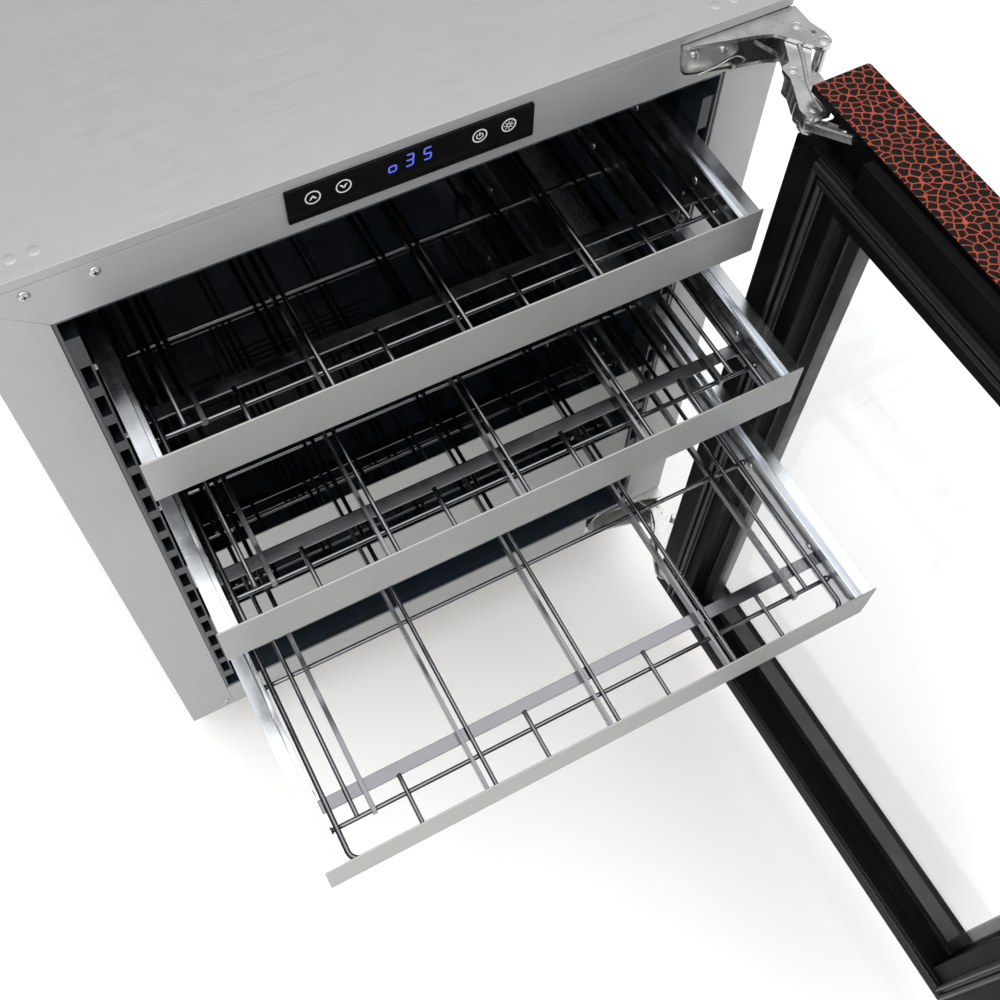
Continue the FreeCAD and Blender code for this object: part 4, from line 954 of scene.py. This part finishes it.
# Each digit's middle and its lit segments.
DIGITS = ((-15.0, "gcde"), (-2.6, "abcdg"), (10.6, "afgcd"))
DIGIT_LEVEL = 851.2
DIGIT_HALF = (2.6, 4.9)
DIGIT_LEAN = 0.10
SEGMENT_HALF = 0.62
SEGMENTS = {"a": ((-1, 1), (1, 1)), "b": ((1, 1), (1, 0)), "c": ((1, 0), (1, -1)), "d": ((-1, -1), (1, -1)),
            "e": ((-1, 0), (-1, -1)), "f": ((-1, 1), (-1, 0)), "g": ((-1, 0), (1, 0))}


def segment(one, two, half):
    """Pointed bar between two ends, as in a lit number."""
    one, two = Vector(one), Vector(two)
    ahead = (two - one).normalized()
    side = Vector((-ahead.y, ahead.x)) * half
    near, far = one + ahead * half, two - ahead * half
    return [tuple(spot) for spot in (one, near + side, far + side, two, far - side, near - side)]


def around(x, radius, turn):
    """A place on a circle about a key's middle."""
    return x + radius * math.cos(turn), ICON_LEVEL + radius * math.sin(turn)


def make_display():
    """Touch-key rings and signs, and three lit digits, on the control glass."""
    front, back = GLASS_FACE - 0.1, GLASS_FACE - 0.01
    signs = Builder()
    for x in (UP_KEY, DOWN_KEY, POWER_KEY, LIGHT_KEY):
        signs.plate([disc(x, ICON_LEVEL, radius, 40) for radius in KEY_RING], front, back, "y")
    for x, way in ((UP_KEY, 1), (DOWN_KEY, -1)):
        signs.prism([(x + across, ICON_LEVEL + way * up) for across, up in ARROW], front, back, "y")
    x = POWER_KEY
    sweep = [math.radians(120 + 300 * step / 24) for step in range(25)]
    outer = [(x + 2.8 * math.cos(turn), ICON_LEVEL - 0.2 + 2.8 * math.sin(turn)) for turn in sweep]
    inner = [(x + 2.0 * math.cos(turn), ICON_LEVEL - 0.2 + 2.0 * math.sin(turn)) for turn in reversed(sweep)]
    signs.prism(outer + inner, front, back, "y")
    signs.prism([(x - 0.4, ICON_LEVEL - 0.3), (x + 0.4, ICON_LEVEL - 0.3), (x + 0.4, ICON_LEVEL + 3.3),
                 (x - 0.4, ICON_LEVEL + 3.3)], front, back, "y")
    signs.plate([disc(LIGHT_KEY, ICON_LEVEL, radius) for radius in (1.9, 1.1)], front, back, "y")
    for step in range(8):
        turn = math.pi * step / 4
        ray = stadium(around(LIGHT_KEY, 2.5, turn), around(LIGHT_KEY, 3.6, turn), 0.3, 4)
        signs.prism(ray, front, back, "y")
    signs.piece("key_signs", "cabinet", "black_glass", look=ICON_INK, smooth=False)

    lights = Builder()
    wide, tall = DIGIT_HALF
    for x, lit in DIGITS:
        for letter in lit:
            spots = [(x + across * wide + up * tall * DIGIT_LEAN, DIGIT_LEVEL + up * tall)
                     for across, up in SEGMENTS[letter]]
            lights.prism(segment(*spots, SEGMENT_HALF), front, back, "y")
    lights.piece("display_digits", "cabinet", "black_glass", look=DIGIT_LIGHT, smooth=False)


make_screws()
make_display()


# ---------------------------------------------------------------- stage, light and camera

FLOOR_HALF = 9.0
WORLD_LIGHT = 0.55


def make_floor():
    """Pale studio paper under the feet."""
    mesh = bpy.data.meshes.new("floor")
    half = FLOOR_HALF
    mesh.from_pydata([(-half, -half, 0), (half, -half, 0), (half, half, 0), (-half, half, 0)], [],
                     [(0, 1, 2, 3)])
    floor = bpy.data.objects.new("floor", mesh)
    bpy.context.scene.collection.objects.link(floor)
    shader = Shader("floor_paper")
    tint = shader.ramp(shader.noise(3.0, 2.0), ((0.3, (0.94, 0.94, 0.94)), (0.7, (0.96, 0.96, 0.96))))
    mesh.materials.append(shader.finish(tint, 0.8, 0.0))


def area_light(name, place, aim, size, power):
    """A soft panel at a place, turned to face another."""
    data = bpy.data.lights.new(name, "AREA")
    data.energy = power
    data.shape = "RECTANGLE"
    data.size, data.size_y = size
    lamp = bpy.data.objects.new(name, data)
    bpy.context.scene.collection.objects.link(lamp)
    lamp.location = place
    lamp.rotation_euler = (Vector(aim) - Vector(place)).to_track_quat("-Z", "Y").to_euler()


def make_light():
    """White surroundings, two weak side panels and a broad one overhead."""
    world = bpy.data.worlds.new("studio")
    bpy.context.scene.world = world
    world.use_nodes = True
    background = world.node_tree.nodes["Background"]
    background.inputs[0].default_value = (1.0, 1.0, 1.0, 1.0)
    background.inputs[1].default_value = WORLD_LIGHT
    area_light("key", (-2.2, -2.4, 3.4), (0.0, 0.0, 0.5), (2.6, 2.6), 75.0)
    area_light("fill", (2.6, -1.6, 2.6), (0.2, -0.2, 0.5), (2.2, 2.2), 20.0)
    area_light("overhead", (0.0, -0.3, 4.4), (0.0, -0.3, 0.0), (5.0, 5.0), 190.0)


CAMERA_PLACE = Vector((-0.2398, -0.5429, 1.4540))
CAMERA_TURN = Vector((2.574, -0.634, 0.197))
LENS = 44.22
FILM_WIDTH = 36.0


def make_camera():
    """The camera stands over the cabinet's front left and looks steeply down into the shelves."""
    to_view = Matrix.Rotation(CAMERA_TURN.length, 3, CAMERA_TURN.normalized())
    right, down, ahead = (Vector(row) for row in to_view)
    basis = Matrix((right, -down, -ahead)).transposed().to_4x4()
    data = bpy.data.cameras.new("camera")
    data.lens = LENS
    data.sensor_width = FILM_WIDTH
    data.clip_start = 0.01
    camera = bpy.data.objects.new("camera", data)
    bpy.context.scene.collection.objects.link(camera)
    camera.matrix_world = Matrix.Translation(CAMERA_PLACE) @ basis
    bpy.context.scene.camera = camera


make_floor()
make_light()
make_camera()
bpy.context.scene.view_settings.view_transform = "Standard"

bpy.context.view_layer.update()
